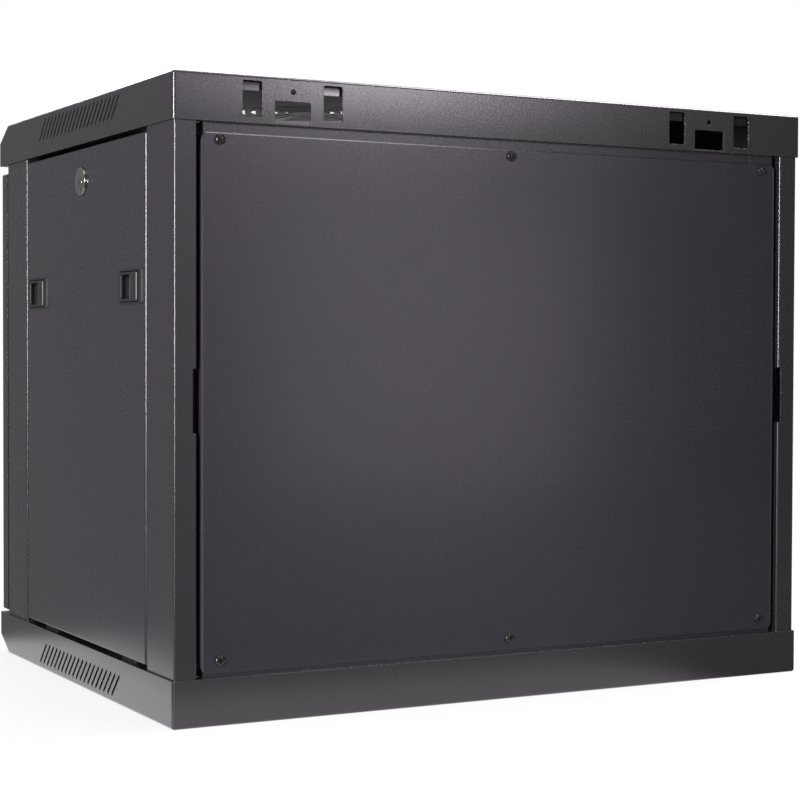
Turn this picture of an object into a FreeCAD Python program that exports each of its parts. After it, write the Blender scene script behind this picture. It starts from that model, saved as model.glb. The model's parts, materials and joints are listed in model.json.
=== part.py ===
"""Wall mount network cabinet, nine rack units high, as an assembly of separate sheet-metal pieces.

Millimetres. +Z is up, the door faces -Y, the wall side faces +Y, and the origin is at the
middle of the footprint on the ground. "right" pieces stand at +X and "left" pieces at -X.
"""

import FreeCAD, Part
import math
import os
import Sketcher
from FreeCAD import Placement, Rotation, Vector

document = FreeCAD.newDocument("NetworkCabinet")
sheet = document.addObject("Spreadsheet::Sheet", "Sizes")

# ---------------------------------------------------------------- driving sizes

SIZES = {
    # whole cabinet
    "cabinet_width": (600.0, "across roof and base"),
    "cabinet_depth": (450.0, "door slope to wall side"),
    "cabinet_height": (500.0, "base underside to roof top"),
    # roof cover and base tray
    "cover_sheet": (1.5, "sheet of roof and base"),
    "skirt_height": (37.0, "height of roof and base skirts"),
    "slope_depth": (26.0, "front slope, along the depth"),
    "slope_height": (15.0, "front slope, along the height"),
    "cover_flange": (12.0, "inward flange of side and rear skirts"),
    "front_flange": (26.0, "inward flange of front skirt"),
    "cover_bend": (2.5, "outside radius of roof and base bends"),
    "vent_count": (20, "slanted vent slots in each side skirt"),
    "vent_pitch": (10.0, "vent slot spacing"),
    "vent_width": (3.0, "vent slot width"),
    "vent_centre_y": (3.5, "middle of the row of vent slots"),
    "vent_edge": (6.5, "outer face of the cover to the vent slot's first end centre"),
    "vent_rise": (17.0, "vent slot's end centres, both up and along"),
    # hook openings in the roof's rear skirt
    "hook_spacing": (400.0, "between the two hook groups"),
    "hook_pitch": (69.0, "between the two hook slots of a group"),
    "hook_width": (16.5, "hook slot width"),
    "hook_height": (28.0, "hook slot height"),
    "hook_drop": (4.2, "roof top to hook slot's upper edge"),
    "hook_corner": (1.6, "hook slot corner radius"),
    "tab_width": (31.0, "safety tab opening width"),
    "tab_height": (17.0, "safety tab opening height"),
    "pilot_radius": (2.3, "safety screw hole radius"),
    "pilot_drop": (11.2, "roof top to safety screw hole"),
    "hanger_sheet": (2.5, "hanger angle thickness"),
    "hanger_gap": (1.5, "rear skirt to hanger angle"),
    "hanger_leg": (10.0, "hanger angle's upright leg"),
    "hanger_foot": (22.0, "hanger angle's flat leg"),
    "hanger_margin": (14.0, "hanger angle's ends to the side skirts"),
    "hanger_notch": (1.2, "hanger angle's notch around the safety screw, radial"),
    # fan vents in the roof
    "fan_spacing": (200.0, "between the fan vents"),
    "fan_centre_y": (32.0, "fan vents' centre line"),
    "fan_hub": (14.0, "solid middle of a fan vent, radius"),
    "fan_ring_pitch": (9.6, "ring spacing"),
    "fan_ring_slot": (4.4, "ring slot width"),
    "fan_ring_count": (5, "rings of slots"),
    "fan_bridge_angle": (10.0, "bridge between ring slots, degrees"),
    "fan_screw_pitch": (105.0, "fan screw hole spacing"),
    "fan_screw_radius": (2.2, "fan screw hole radius"),
    # cable entry in the base
    "entry_width": (240.0, "cable entry across"),
    "entry_depth": (60.0, "cable entry along the depth"),
    "entry_margin": (45.0, "wall side to cable entry"),
    "entry_cover_lap": (14.0, "cover plate beyond the entry"),
    "entry_cover_sheet": (1.2, "cover plate thickness"),
    # corner posts
    "post_sheet": (1.5, "sheet of posts, tubes and rear rails"),
    "post_bend": (1.35, "outside radius of the posts' bends"),
    "post_inset": (2.0, "posts inside the roof's sides and back"),
    "front_setback": (21.0, "front posts behind the roof's front"),
    "post_side": (58.0, "post's side face along the depth"),
    "front_post_face": (50.0, "front post's face across"),
    "front_post_return": (12.0, "front post's inner return"),
    "rear_post_face": (18.5, "rear post's face across"),
    "rear_pocket_depth": (14.0, "pocket beside the rear panel's edge"),
    "pocket_clearance": (1.0, "rear panel's bent edge to the pocket's wall"),
    "rear_seat_reach": (31.5, "rear post's face edge to seat flange's inner edge"),
    "jamb_lip": (15.0, "post's inward lip beside a side panel"),
    "notch_height": (49.5, "notch in the rear post's face edge"),
    "notch_depth": (3.4, "notch across"),
    "strike_width": (15.0, "door lock opening in the front post"),
    "strike_height": (40.0, "door lock opening's height"),
    # rear panel
    "panel_sheet": (1.2, "sheet of rear and side panels"),
    "rear_panel_gap": (4.5, "rear panel to the posts"),
    "rear_panel_recess": (1.5, "rear panel's face behind the posts' faces"),
    "rear_panel_low_gap": (3.0, "base to rear panel"),
    "rear_panel_top_gap": (8.0, "rear panel to roof"),
    "rear_panel_edge": (9.0, "rear panel's bent edge"),
    "rear_panel_corner": (6.0, "rear panel's corner radius"),
    "rear_panel_bend": (0.9, "outside radius of the rear panel's edges"),
    "rear_screw_inset": (15.0, "rear panel's side edge to screws"),
    "rear_screw_top": (5.5, "rear panel's top edge to upper screws"),
    "rear_screw_low": (10.0, "rear panel's bottom edge to lower screws"),
    "rear_rail_height": (23.0, "rear rails' upright leg"),
    "rear_rail_foot": (16.0, "rear rails' flat leg"),
    "cross_rail_gap": (0.5, "cross rails' ends to the posts"),
    "screw_radius": (2.0, "rear panel screw's shank"),
    "screw_head_radius": (4.3, "rear panel screw's head"),
    "screw_head_height": (2.9, "rear panel screw's head height"),
    "screw_length": (9.0, "rear panel screw under its head"),
    "screw_clearance": (0.1, "sheet metal holes around screws, radial"),
    # side panels
    "side_panel_gap": (3.2, "side panel to its posts, roof and base"),
    "side_panel_edge": (13.0, "side panel's bent edge, face to inner end"),
    "side_panel_bend": (1.8, "side panel's outside bend radius"),
    "lug_width": (32.0, "bottom lug along the panel"),
    "lug_inset": (52.3, "side panel's front and rear edges to a bottom lug's middle"),
    "lug_reach": (9.0, "bottom lug below the base flange's top"),
    "lug_gap": (0.8, "bottom lug to the base flange's edge"),
    "lug_seat": (4.0, "bottom lug's rest on the base flange"),
    # depth tubes and rack rails
    "rail_inset": (52.0, "cabinet's side to the rack rail's side face"),
    "rail_sheet": (2.0, "rack rail thickness"),
    "rail_side": (42.0, "rack rail's side flange"),
    "rail_face": (25.0, "rack rail's face across"),
    "rail_setback": (42.0, "front rack rail behind the front posts"),
    "rail_rear_setback": (62.0, "rear rack rail ahead of the rear posts' back"),
    "rail_end_gap": (8.0, "rack rails' ends to roof and base"),
    "rack_unit": (44.45, "height of one rack unit"),
    "rack_hole_inset": (17.45, "rack rail's outer side to its hole column"),
    "rack_hole": (9.5, "square rack hole"),
    "rack_hole_first": (6.35, "unit's lower edge to its first hole"),
    "rack_hole_pitch": (15.875, "hole spacing inside a unit"),
    "rail_clearance": (0.9, "depth tubes to the lock cams"),
    "tube_height": (18.0, "upper and lower depth tubes"),
    "tube_end_gap": (4.0, "upper and lower depth tubes to roof and base flanges"),
    "keeper_tube_height": (28.0, "middle tube"),
    "rail_bolt_radius": (3.0, "rack rail bolt shank"),
    "rail_bolt_head": (5.0, "rack rail bolt head radius"),
    "rail_bolt_head_height": (3.2, "rack rail bolt head height"),
    "rail_bolt_clearance": (0.25, "rack rail bolt holes around the bolts, radial"),
    "rail_nut_height": (4.6, "rack rail nut height"),
    "rail_nut_flats": (10.0, "rack rail nut across flats"),
    # cam locks
    "lock_height": (431.5, "side lock's centre above the ground"),
    "lock_bezel_radius": (12.3, "lock bezel"),
    "lock_bezel": (2.0, "lock bezel's height over the panel"),
    "lock_barrel_radius": (9.4, "lock housing"),
    "lock_plug_radius": (6.4, "key plug"),
    "lock_hole_clearance": (0.3, "lock housing to its hole, radial"),
    "lock_barrel_gap": (0.2, "side lock's housing short of the panel's inner edges"),
    "lock_barrel_reach": (1.0, "door lock's housing beyond the door's back"),
    "lock_fit": (0.05, "running fit of the key plug and the hinge pins, radial"),
    "lock_nut_radius": (13.0, "lock nut"),
    "lock_nut_height": (3.5, "lock nut"),
    "cam_sheet": (2.0, "lock cam"),
    "cam_width": (12.0, "lock cam"),
    "cam_clearance": (0.6, "lock cam to the panel's edges and to its housing"),
    "side_cam_reach": (37.0, "side lock's cam from its axis"),
    "door_cam_reach": (22.0, "door lock's cam from its axis"),
    "door_cam_gap": (1.2, "door lock's cam to the front post's inner face"),
    "cam_square": (6.0, "square that carries the cam"),
    "cam_stub": (0.6, "key plug's square beyond its cam"),
    "cam_boss": (0.5, "key plug's square inside its housing"),
    "keyway_length": (8.4, "key slot length"),
    "keyway_width": (2.0, "key slot width"),
    "keyway_depth": (5.0, "key slot depth"),
    # side panel latches
    "latch_height": (339.2, "latch centre above the ground"),
    "latch_inset": (32.3, "side panel's front and rear edges to a latch's middle"),
    "latch_length": (54.0, "latch frame along the panel"),
    "latch_width": (29.0, "latch frame's height"),
    "latch_flange": (1.0, "latch frame's thickness outside the panel"),
    "latch_wall": (0.9, "latch frame's walls"),
    "latch_fit": (0.2, "latch frame to its opening in the panel"),
    "latch_depth": (10.0, "latch frame behind the panel"),
    "latch_rim_front": (3.0, "latch frame's front rim"),
    "latch_rim_rear": (7.0, "latch frame's rear rim"),
    "latch_rim_side": (2.1, "latch frame's upper and lower rims"),
    "latch_travel": (5.0, "slider travel"),
    "slider_clearance": (0.3, "slider to the latch frame"),
    "slider_rise": (0.7, "slider's face over the latch frame"),
    "finger_length": (21.0, "finger hole along the panel"),
    "finger_height": (19.4, "finger hole's height"),
    "finger_inset": (5.0, "finger hole behind the slider's front end"),
    "finger_floor": (1.2, "floor of the finger hole"),
    "hook_neck": (8.0, "latch hook's neck along the panel"),
    "hook_tongue_height": (12.0, "latch hook's height"),
    "hook_tip": (2.0, "latch hook's thickness"),
    "hook_overlap": (3.0, "latch hook's grip on its keeper"),
    "hook_play": (0.7, "latch hook to its keeper"),
    "keeper_clearance": (2.0, "keeper window around the hook"),
    # front door
    "door_front_inset": (2.0, "door's face behind the roof's front"),
    "door_thickness": (16.0, "door pan's depth"),
    "door_side_border": (45.0, "door frame beside the glass"),
    "door_end_border": (38.0, "door frame above and below the glass"),
    "door_sheet": (1.2, "door frame's sheet"),
    "door_return": (9.0, "door pan's inward return"),
    "glass_sheet": (4.0, "door glass"),
    "seal_wall": (1.0, "glass seal's walls"),
    "seal_lap": (9.0, "glass seal beyond the door's window"),
    "glass_bite": (7.0, "glass inside its seal"),
    "hinge_pin_radius": (3.0, "hinge pin"),
    "hinge_inset_x": (7.0, "hinge axis inside the door's side"),
    "hinge_inset_y": (7.0, "hinge axis behind the door's face"),
    "hinge_pin_grip": (22.0, "hinge pin inside the door"),
    "hinge_pin_reach": (2.5, "hinge pin beyond the cover's flange"),
    "bush_wall": (1.4, "hinge bush's wall"),
    "bush_flange_radius": (6.5, "hinge bush's flange"),
    "bush_flange": (1.6, "hinge bush's flange thickness"),
    "door_lock_inset": (22.0, "door lock's axis inside the door's side"),
}

for row, (alias, (value, note)) in enumerate(SIZES.items(), start=1):
    sheet.set(f"A{row}", note)
    sheet.set(f"B{row}", str(value))
    sheet.setAlias(f"B{row}", alias)
document.recompute()


class Size:
    """A length known both as a number and as the expression over the sheet that gives it."""

    def __init__(self, value, text=None):
        self.value = float(value)
        self.text = text or f"({float(value)!r})"

    def _join(self, other, sign, value):
        return Size(value, f"({self.text} {sign} {as_size(other).text})")

    def __add__(self, other):
        return self._join(other, "+", self.value + float(other))

    def __sub__(self, other):
        return self._join(other, "-", self.value - float(other))

    def __mul__(self, other):
        return self._join(other, "*", self.value * float(other))

    def __truediv__(self, other):
        return self._join(other, "/", self.value / float(other))

    def __radd__(self, other):
        return as_size(other) + self

    def __rsub__(self, other):
        return as_size(other) - self

    def __rmul__(self, other):
        return as_size(other) * self

    def __neg__(self):
        return 0 - self

    def __float__(self):
        return self.value


def as_size(value):
    return value if isinstance(value, Size) else Size(value)


def size(alias):
    """The sheet's cell of this alias."""
    return Size(SIZES[alias][0], f"Sizes.{alias}")


def low_high(one, other):
    """Two sizes in rising order."""
    return (one, other) if float(one) <= float(other) else (other, one)


def bind(target, path, value):
    target.setExpression(path, as_size(value).text)


# ---------------------------------------------------------------- shaping helpers

PAST = 1.0  # how far a cut runs beyond the faces it opens
NORMAL_SIGN = {"XY": 1, "XZ": -1, "YZ": 1}
AXIS_ROLE = {"X": "X_Axis", "Y": "Y_Axis", "Z": "Z_Axis"}
finished = []


def origin_feature(body, role):
    return next(item for item in body.Origin.OriginFeatures if item.Role == role)


class Piece:
    """One sub-part made as a PartDesign body of pads, pockets, turned features and patterns."""

    def __init__(self, label, kept=True):
        self.body = document.addObject("PartDesign::Body", label)
        self.body.Label = label
        self.body.AllowCompound = True
        self.serial = 0
        if kept:
            finished.append(self.body)

    def _name(self, kind):
        self.serial += 1
        return f"{self.body.Name}_{kind}{self.serial}"

    def sketch(self, plane, offset=0):
        drawing = self.body.newObject("Sketcher::SketchObject", self._name("sketch"))
        drawing.AttachmentSupport = (origin_feature(self.body, f"{plane}_Plane"), "")
        drawing.MapMode = "FlatFace"
        bind(drawing, "AttachmentOffset.Base.z", offset * NORMAL_SIGN[plane])
        return drawing

    def _extrude(self, plane, low, high, draw, cut):
        """Pad or pocket of a drawing between two levels along the plane's axis."""
        starts_high = (NORMAL_SIGN[plane] < 0) != cut
        drawing = self.sketch(plane, as_size(high if starts_high else low))
        draw(drawing)
        kind = "PartDesign::Pocket" if cut else "PartDesign::Pad"
        feature = self.body.newObject(kind, self._name("cut" if cut else "pad"))
        feature.Profile = drawing
        bind(feature, "Length", as_size(high) - low)
        return feature

    def pad(self, plane, low, high, draw):
        return self._extrude(plane, low, high, draw, False)

    def prism(self, plane, low, high, corners, cut=False):
        return self._extrude(plane, low, high, lambda drawing: draw_outline(drawing, corners), cut)

    def block(self, across, along, up, cut=False):
        """A box from (low, high) pairs along X, Y and Z."""
        (x0, x1), (y0, y1), (z0, z1) = across, along, up
        return self.prism("XY", z0, z1, [(x0, y0), (x1, y0), (x1, y1), (x0, y1)], cut)

    def disc(self, plane, low, high, centre, radius, cut=False):
        return self._extrude(plane, low, high, lambda drawing: draw_circle(drawing, centre, radius), cut)

    def slot(self, plane, low, high, start, end, width, cut=True):
        return self._extrude(plane, low, high, lambda drawing: draw_slot(drawing, start, end, width), cut)

    def turned(self, corners):
        """A solid of revolution about Z from (radius, height) corners."""
        drawing = self.sketch("XZ")
        draw_outline(drawing, corners)
        feature = self.body.newObject("PartDesign::Revolution", self._name("turned"))
        feature.Profile = drawing
        feature.ReferenceAxis = (drawing, ["V_Axis"])
        feature.Angle = 360
        return feature

    def row(self, feature, axis, length, count, backwards=False):
        """Copies of a feature spread evenly over a length along an axis."""
        pattern = self.body.newObject("PartDesign::LinearPattern", self._name("row"))
        pattern.Originals = [feature]
        pattern.Direction = (origin_feature(self.body, AXIS_ROLE[axis]), [""])
        pattern.Reversed = backwards
        bind(pattern, "Length", length)
        bind(pattern, "Occurrences", count)
        self.body.Tip = pattern
        return pattern

    def round_edges(self, radius, wanted):
        """Fillet the straight edges whose middle and direction the given test accepts."""
        document.recompute()
        shape = self.body.Tip.Shape
        names = []
        for number, edge in enumerate(shape.Edges, start=1):
            if is_straight(edge) and wanted(edge.CenterOfMass, edge.tangentAt(edge.FirstParameter)):
                names.append(f"Edge{number}")
        fillet = self.body.newObject("PartDesign::Fillet", self._name("round"))
        fillet.Base = (self.body.Tip if self.body.Tip != fillet else fillet.BaseFeature, names)
        bind(fillet, "Radius", radius)
        return fillet

    def place(self, x, y, z, rotation=Rotation()):
        self.body.Placement = Placement(Vector(float(x), float(y), float(z)), rotation)
        for path, value in (("x", x), ("y", y), ("z", z)):
            bind(self.body, f"Placement.Base.{path}", value)


def is_straight(edge):
    ends = edge.Vertexes
    return len(ends) == 2 and abs(ends[0].Point.distanceToPoint(ends[1].Point) - edge.Length) < 1e-6


def hold_point(drawing, geometry, point, across, up):
    """Fix a point of a drawing at sizes from the drawing's origin."""
    for kind, value in (("DistanceX", across), ("DistanceY", up)):
        number = drawing.addConstraint(Sketcher.Constraint(kind, -1, 1, geometry, point, float(value)))
        bind(drawing, f"Constraints[{number}]", value)


def draw_outline(drawing, corners):
    """Closed outline of straight sides through (across, up) corners."""
    points = [Vector(float(across), float(up), 0) for across, up in corners]
    for start, end in zip(points, points[1:] + points[:1]):
        drawing.addGeometry(Part.LineSegment(start, end))
    for side in range(len(points)):
        drawing.addConstraint(Sketcher.Constraint("Coincident", side, 2, (side + 1) % len(points), 1))
    for side, (across, up) in enumerate(corners):
        hold_point(drawing, side, 1, across, up)


def draw_circle(drawing, centre, radius):
    middle = Vector(float(centre[0]), float(centre[1]), 0)
    drawing.addGeometry(Part.Circle(middle, Vector(0, 0, 1), float(radius)))
    hold_point(drawing, 0, 3, *centre)
    number = drawing.addConstraint(Sketcher.Constraint("Radius", 0, float(radius)))
    bind(drawing, f"Constraints[{number}]", radius)


def draw_slot(drawing, start, end, width):
    """Round-ended slot between two end centres."""
    first = Vector(float(start[0]), float(start[1]), 0)
    last = Vector(float(end[0]), float(end[1]), 0)
    heading = math.atan2(last.y - first.y, last.x - first.x)
    radius = float(width) / 2
    side = Vector(-math.sin(heading), math.cos(heading), 0) * radius
    quarter = math.pi / 2
    cap_first = Part.Circle(first, Vector(0, 0, 1), radius)
    cap_last = Part.Circle(last, Vector(0, 0, 1), radius)
    drawing.addGeometry(Part.ArcOfCircle(cap_first, heading + quarter, heading + 3 * quarter))
    drawing.addGeometry(Part.LineSegment(first - side, last - side))
    drawing.addGeometry(Part.ArcOfCircle(cap_last, heading - quarter, heading + quarter))
    drawing.addGeometry(Part.LineSegment(last + side, first + side))
    for geometry in range(4):
        joined = (geometry + 1) % 4
        drawing.addConstraint(Sketcher.Constraint("Tangent", geometry, 2, joined, 1))
    hold_point(drawing, 0, 3, *start)
    hold_point(drawing, 2, 3, *end)
    number = drawing.addConstraint(Sketcher.Constraint("Radius", 0, radius))
    bind(drawing, f"Constraints[{number}]", as_size(width) / 2)


def grouped(label, pieces):
    """One node that holds several separate solids."""
    group = document.addObject("Part::Compound", label)
    group.Label = label
    group.Links = [piece.body for piece in pieces]
    finished.append(group)
    return group


def mirrored(sign, value):
    """A size across the cabinet, on the right for sign 1 and on the left for sign -1."""
    return as_size(value) * sign


# ---------------------------------------------------------------- places worked out from the sizes

half_width = size("cabinet_width") / 2
half_depth = size("cabinet_depth") / 2
height = size("cabinet_height")
cover_sheet = size("cover_sheet")
skirt = size("skirt_height")
roof_low = height - skirt
panel_sheet = size("panel_sheet")
post_sheet = size("post_sheet")

side_face = half_width - size("post_inset")
rear_face = half_depth - size("post_inset")
front_face = -half_depth + size("front_setback")
front_jamb = front_face + size("post_side")
rear_jamb = rear_face - size("post_side")
front_post_inner = side_face - size("front_post_face")
rear_post_inner = side_face - size("rear_post_face")
rear_seat_inner = rear_post_inner - size("rear_seat_reach")
panel_face_y = rear_face - size("rear_panel_recess")
rear_seat = panel_face_y - panel_sheet
rear_half_width = rear_post_inner - size("rear_panel_gap")
rear_panel_low = skirt + size("rear_panel_low_gap")
rear_panel_top = roof_low - size("rear_panel_top_gap")

side_panel_front = front_jamb + size("side_panel_gap")
side_panel_rear = rear_jamb - size("side_panel_gap")
side_panel_low = skirt + size("side_panel_gap")
side_panel_top = roof_low - size("side_panel_gap")
side_panel_middle = (side_panel_front + side_panel_rear) / 2
side_panel_half = (side_panel_rear - side_panel_front) / 2
latch_out = side_panel_half - size("latch_inset")
side_panel_inner = side_face - panel_sheet
side_edge_inner = side_face - size("side_panel_edge")
side_cam_outer = side_edge_inner - size("cam_clearance")
side_cam_inner = side_cam_outer - size("cam_sheet")
tube_outer = side_cam_inner - size("rail_clearance")
rail_side_x = half_width - size("rail_inset")
rail_outer = rail_side_x + size("rail_sheet")

door_front = -half_depth + size("door_front_inset")
door_back = door_front + size("door_thickness")
door_low = rear_panel_low
door_top = rear_panel_top
door_half = side_face
lock_plug_bore = size("lock_plug_radius") + size("lock_fit")
lock_hole = size("lock_barrel_radius") + size("lock_hole_clearance")
screw_hole = size("screw_radius") + size("screw_clearance")


# ---------------------------------------------------------------- roof and base

def cover_profile(outer, sheet_in, flange_in, top):
    """Side outline of the roof or base, grown inwards by sheet_in, open beyond its flange by flange_in.

    top is 1 for the roof and -1 for the base; heights run from the closed face to the open edge.
    """
    closed = height if top > 0 else as_size(0)
    level = lambda drop: closed - as_size(drop) * top
    run = math.hypot(SIZES["slope_depth"][0], SIZES["slope_height"][0])
    slope_in = sheet_in * (run - SIZES["slope_height"][0]) / SIZES["slope_depth"][0]
    flat_in = sheet_in * (run - SIZES["slope_depth"][0]) / SIZES["slope_height"][0]
    front = -outer + sheet_in
    return [
        (outer - sheet_in, level(skirt - flange_in)),
        (outer - sheet_in, level(sheet_in)),
        (-outer + size("slope_depth") + flat_in, level(sheet_in)),
        (front, level(size("slope_height") + slope_in)),
        (front, level(skirt - flange_in)),
    ]


def cover(label, top, kept=True):
    """Folded pan: closed on the outside, skirts all round, inward flanges at the open edge."""
    piece = Piece(label, kept)
    none = as_size(0)
    piece.prism("YZ", -half_width, half_width, cover_profile(half_depth, none, none, top))
    inner_x = half_width - cover_sheet
    piece.prism("YZ", -inner_x, inner_x, cover_profile(half_depth, cover_sheet, cover_sheet, top), cut=True)
    mouth_x = half_width - size("cover_flange")
    mouth_y = (-half_depth + size("front_flange"), half_depth - size("cover_flange"))
    open_edge = roof_low if top > 0 else skirt - cover_sheet
    piece.block((-mouth_x, mouth_x), mouth_y, (open_edge, open_edge + cover_sheet), cut=True)
    closed = float(height) if top > 0 else 0.0
    slope_end = closed - top * SIZES["slope_height"][0]

    def outside_bend(middle, heading):
        on_closed = abs(middle.z - closed) < 0.01
        on_side = abs(abs(middle.x) - float(half_width)) < 0.01
        on_rear = abs(middle.y - float(half_depth)) < 0.01
        on_front = abs(middle.y + float(half_depth)) < 0.01
        at_slope = abs(middle.z - slope_end) < 0.01 and on_front
        upright = abs(heading.z) > 0.99 and on_side and (on_rear or on_front)
        slanted = on_side and 0.05 < abs(heading.z) < 0.99
        return upright or slanted or on_closed or at_slope

    piece.round_edges(size("cover_bend"), outside_bend)
    first = size("vent_centre_y") - size("vent_pitch") * (size("vent_count") - 1) / 2 - size("vent_rise") / 2
    far = size("vent_edge") + size("vent_rise")
    lower = height - far if top > 0 else size("vent_edge")
    start = (first, lower)
    end = (first + size("vent_rise"), lower + size("vent_rise"))
    vent = piece.slot("YZ", -half_width - PAST, half_width + PAST, start, end, size("vent_width"))
    piece.row(vent, "Y", size("vent_pitch") * (size("vent_count") - 1), size("vent_count"))
    bush_hole = size("hinge_pin_radius") + size("lock_fit") + size("bush_wall")
    piece.disc("XY", open_edge - PAST, open_edge + cover_sheet + PAST, hinge_axis(), bush_hole, cut=True)
    return piece


def hinge_axis():
    return (-door_half + size("hinge_inset_x"), door_front + size("hinge_inset_y"))


def fan_vent(centre_x):
    """Cutter for one fan vent: rings of slots around a solid hub, and a screw hole at each corner."""
    cutter = Piece(f"fan_vent_cutter_{'right' if float(centre_x) > 0 else 'left'}", kept=False)
    through = (height - cover_sheet - PAST, height + PAST)
    half_screw = size("fan_screw_pitch") / 2
    centre = (centre_x, size("fan_centre_y"))
    for across in (-1, 1):
        for along in (-1, 1):
            place = (centre[0] + half_screw * across, centre[1] + half_screw * along)
            cutter.disc("XY", *through, place, size("fan_screw_radius"))
    for ring in range(SIZES["fan_ring_count"][0]):
        inner = size("fan_hub") + size("fan_ring_pitch") * ring
        cutter.pad("XY", *through, lambda drawing: draw_ring_slots(drawing, centre, inner))
    return cutter


def draw_ring_slots(drawing, centre, inner):
    """Four slots that make one ring, parted by narrow bridges."""
    middle = Vector(float(centre[0]), float(centre[1]), 0)
    half_bridge = math.radians(SIZES["fan_bridge_angle"][0]) / 2
    radii = (inner, inner + size("fan_ring_slot"))
    for quarter in range(4):
        start = quarter * math.pi / 2 + half_bridge
        end = (quarter + 1) * math.pi / 2 - half_bridge
        arcs = []
        for radius in radii:
            circle = Part.Circle(middle, Vector(0, 0, 1), float(radius))
            arc = drawing.addGeometry(Part.ArcOfCircle(circle, start, end))
            hold_point(drawing, arc, 3, *centre)
            number = drawing.addConstraint(Sketcher.Constraint("Radius", arc, float(radius)))
            bind(drawing, f"Constraints[{number}]", radius)
            arcs.append(arc)
        for point, angle in ((1, start), (2, end)):
            aim = Vector(math.cos(angle), math.sin(angle), 0)
            side = Part.LineSegment(middle + aim * float(radii[0]), middle + aim * float(radii[1]))
            line = drawing.addGeometry(side)
            drawing.addConstraint(Sketcher.Constraint("Coincident", line, 1, arcs[0], point))
            drawing.addConstraint(Sketcher.Constraint("Coincident", line, 2, arcs[1], point))
            drawing.addConstraint(Sketcher.Constraint("Angle", line, angle))
            drawing.addConstraint(Sketcher.Constraint("PointOnObject", arcs[0], 3, line))


def hook_openings(piece):
    """Two groups of wall hook openings through the roof's rear skirt."""
    behind = (half_depth - cover_sheet - PAST, half_depth + PAST)
    slot_top = height - size("hook_drop")
    slot_low = slot_top - size("hook_height")
    tab_low = roof_low + cover_sheet
    for side in (-1, 1):
        group = size("hook_spacing") / 2 * side
        for hand in (-1, 1):
            middle = group + size("hook_pitch") / 2 * hand
            edges = (middle - size("hook_width") / 2, middle + size("hook_width") / 2)
            corners = [(edges[0], slot_low), (edges[1], slot_low), (edges[1], slot_top), (edges[0], slot_top)]
            piece.prism("XZ", *behind, corners, cut=True)
        tab = (group - size("tab_width") / 2, group + size("tab_width") / 2)
        tab_top = tab_low + size("tab_height")
        corners = [(tab[0], tab_low), (tab[1], tab_low), (tab[1], tab_top), (tab[0], tab_top)]
        piece.prism("XZ", *behind, corners, cut=True)
        piece.disc("XZ", *behind, (group, height - size("pilot_drop")), size("pilot_radius"), cut=True)

    def slot_corner(middle, heading):
        through_skirt = abs(heading.y) > 0.99 and middle.y > float(half_depth - cover_sheet)
        return through_skirt and float(slot_low) - 0.01 < middle.z < float(slot_top) + 0.01 and not (
            float(tab_top) - 0.01 < middle.z < float(tab_top) + 0.01)

    piece.round_edges(size("hook_corner"), slot_corner)


def roof_cover():
    pan = cover("roof_pan", 1, kept=False)
    hook_openings(pan)
    vents = document.addObject("Part::Compound", "fan_vent_cutters")
    vents.Links = [fan_vent(size("fan_spacing") / 2 * hand).body for hand in (-1, 1)]
    roof = document.addObject("Part::Cut", "roof_cover")
    roof.Label = "roof_cover"
    roof.Base = pan.body
    roof.Tool = vents
    finished.append(roof)


roof_cover()

base = cover("base_tray", -1)
entry_rear = half_depth - size("entry_margin")
entry_front = entry_rear - size("entry_depth")
entry_half = size("entry_width") / 2
through_base = (as_size(-PAST), cover_sheet + PAST)
base.block((-entry_half, entry_half), (entry_front, entry_rear), through_base, cut=True)


def hanger_angle():
    """Angle welded under the roof just inside the hook slots, which the wall hooks bear against."""
    piece = Piece("hanger_angle")
    outer = half_depth - cover_sheet - size("hanger_gap")
    inner = outer - size("hanger_sheet")
    top = height - cover_sheet
    low = height - size("hanger_leg") - cover_sheet
    shelf = top - size("hanger_sheet")
    foot = outer - size("hanger_foot")
    reach = half_width - cover_sheet - size("hanger_margin")
    corners = [(outer, low), (outer, top), (foot, top), (foot, shelf), (inner, shelf), (inner, low)]
    piece.prism("YZ", -reach, reach, corners)
    for side in (-1, 1):
        notch = (size("hook_spacing") / 2 * side, height - size("pilot_drop"))
        clear = size("pilot_radius") + size("hanger_notch")
        piece.disc("XZ", inner - PAST, outer + PAST, notch, clear, cut=True)


hanger_angle()


def entry_cover():
    """Cover plate that lies in the base over its cable entry."""
    piece = Piece("base_entry_cover")
    lap = size("entry_cover_lap")
    across = (-entry_half - lap, entry_half + lap)
    along = (entry_front - lap, entry_rear + lap)
    piece.block(across, along, (cover_sheet, cover_sheet + size("entry_cover_sheet")))
    screws = []
    for number, (side, end) in enumerate(((-1, -1), (-1, 1), (1, -1), (1, 1)), start=1):
        middle_y = (entry_front + entry_rear) / 2
        place_x = (entry_half + lap / 2) * side
        place_y = middle_y + (size("entry_depth") / 2 + lap / 2) * end
        for plate in (piece, base):
            plate.disc("XY", as_size(-PAST), cover_sheet + 4, (place_x, place_y), screw_hole, cut=True)
        seat = cover_sheet + size("entry_cover_sheet")
        screw = pan_screw(f"entry_screw_{number}", seat)
        screw.place(place_x, place_y, seat)
        screws.append(screw)
    grouped("entry_cover_screws", screws)


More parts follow.
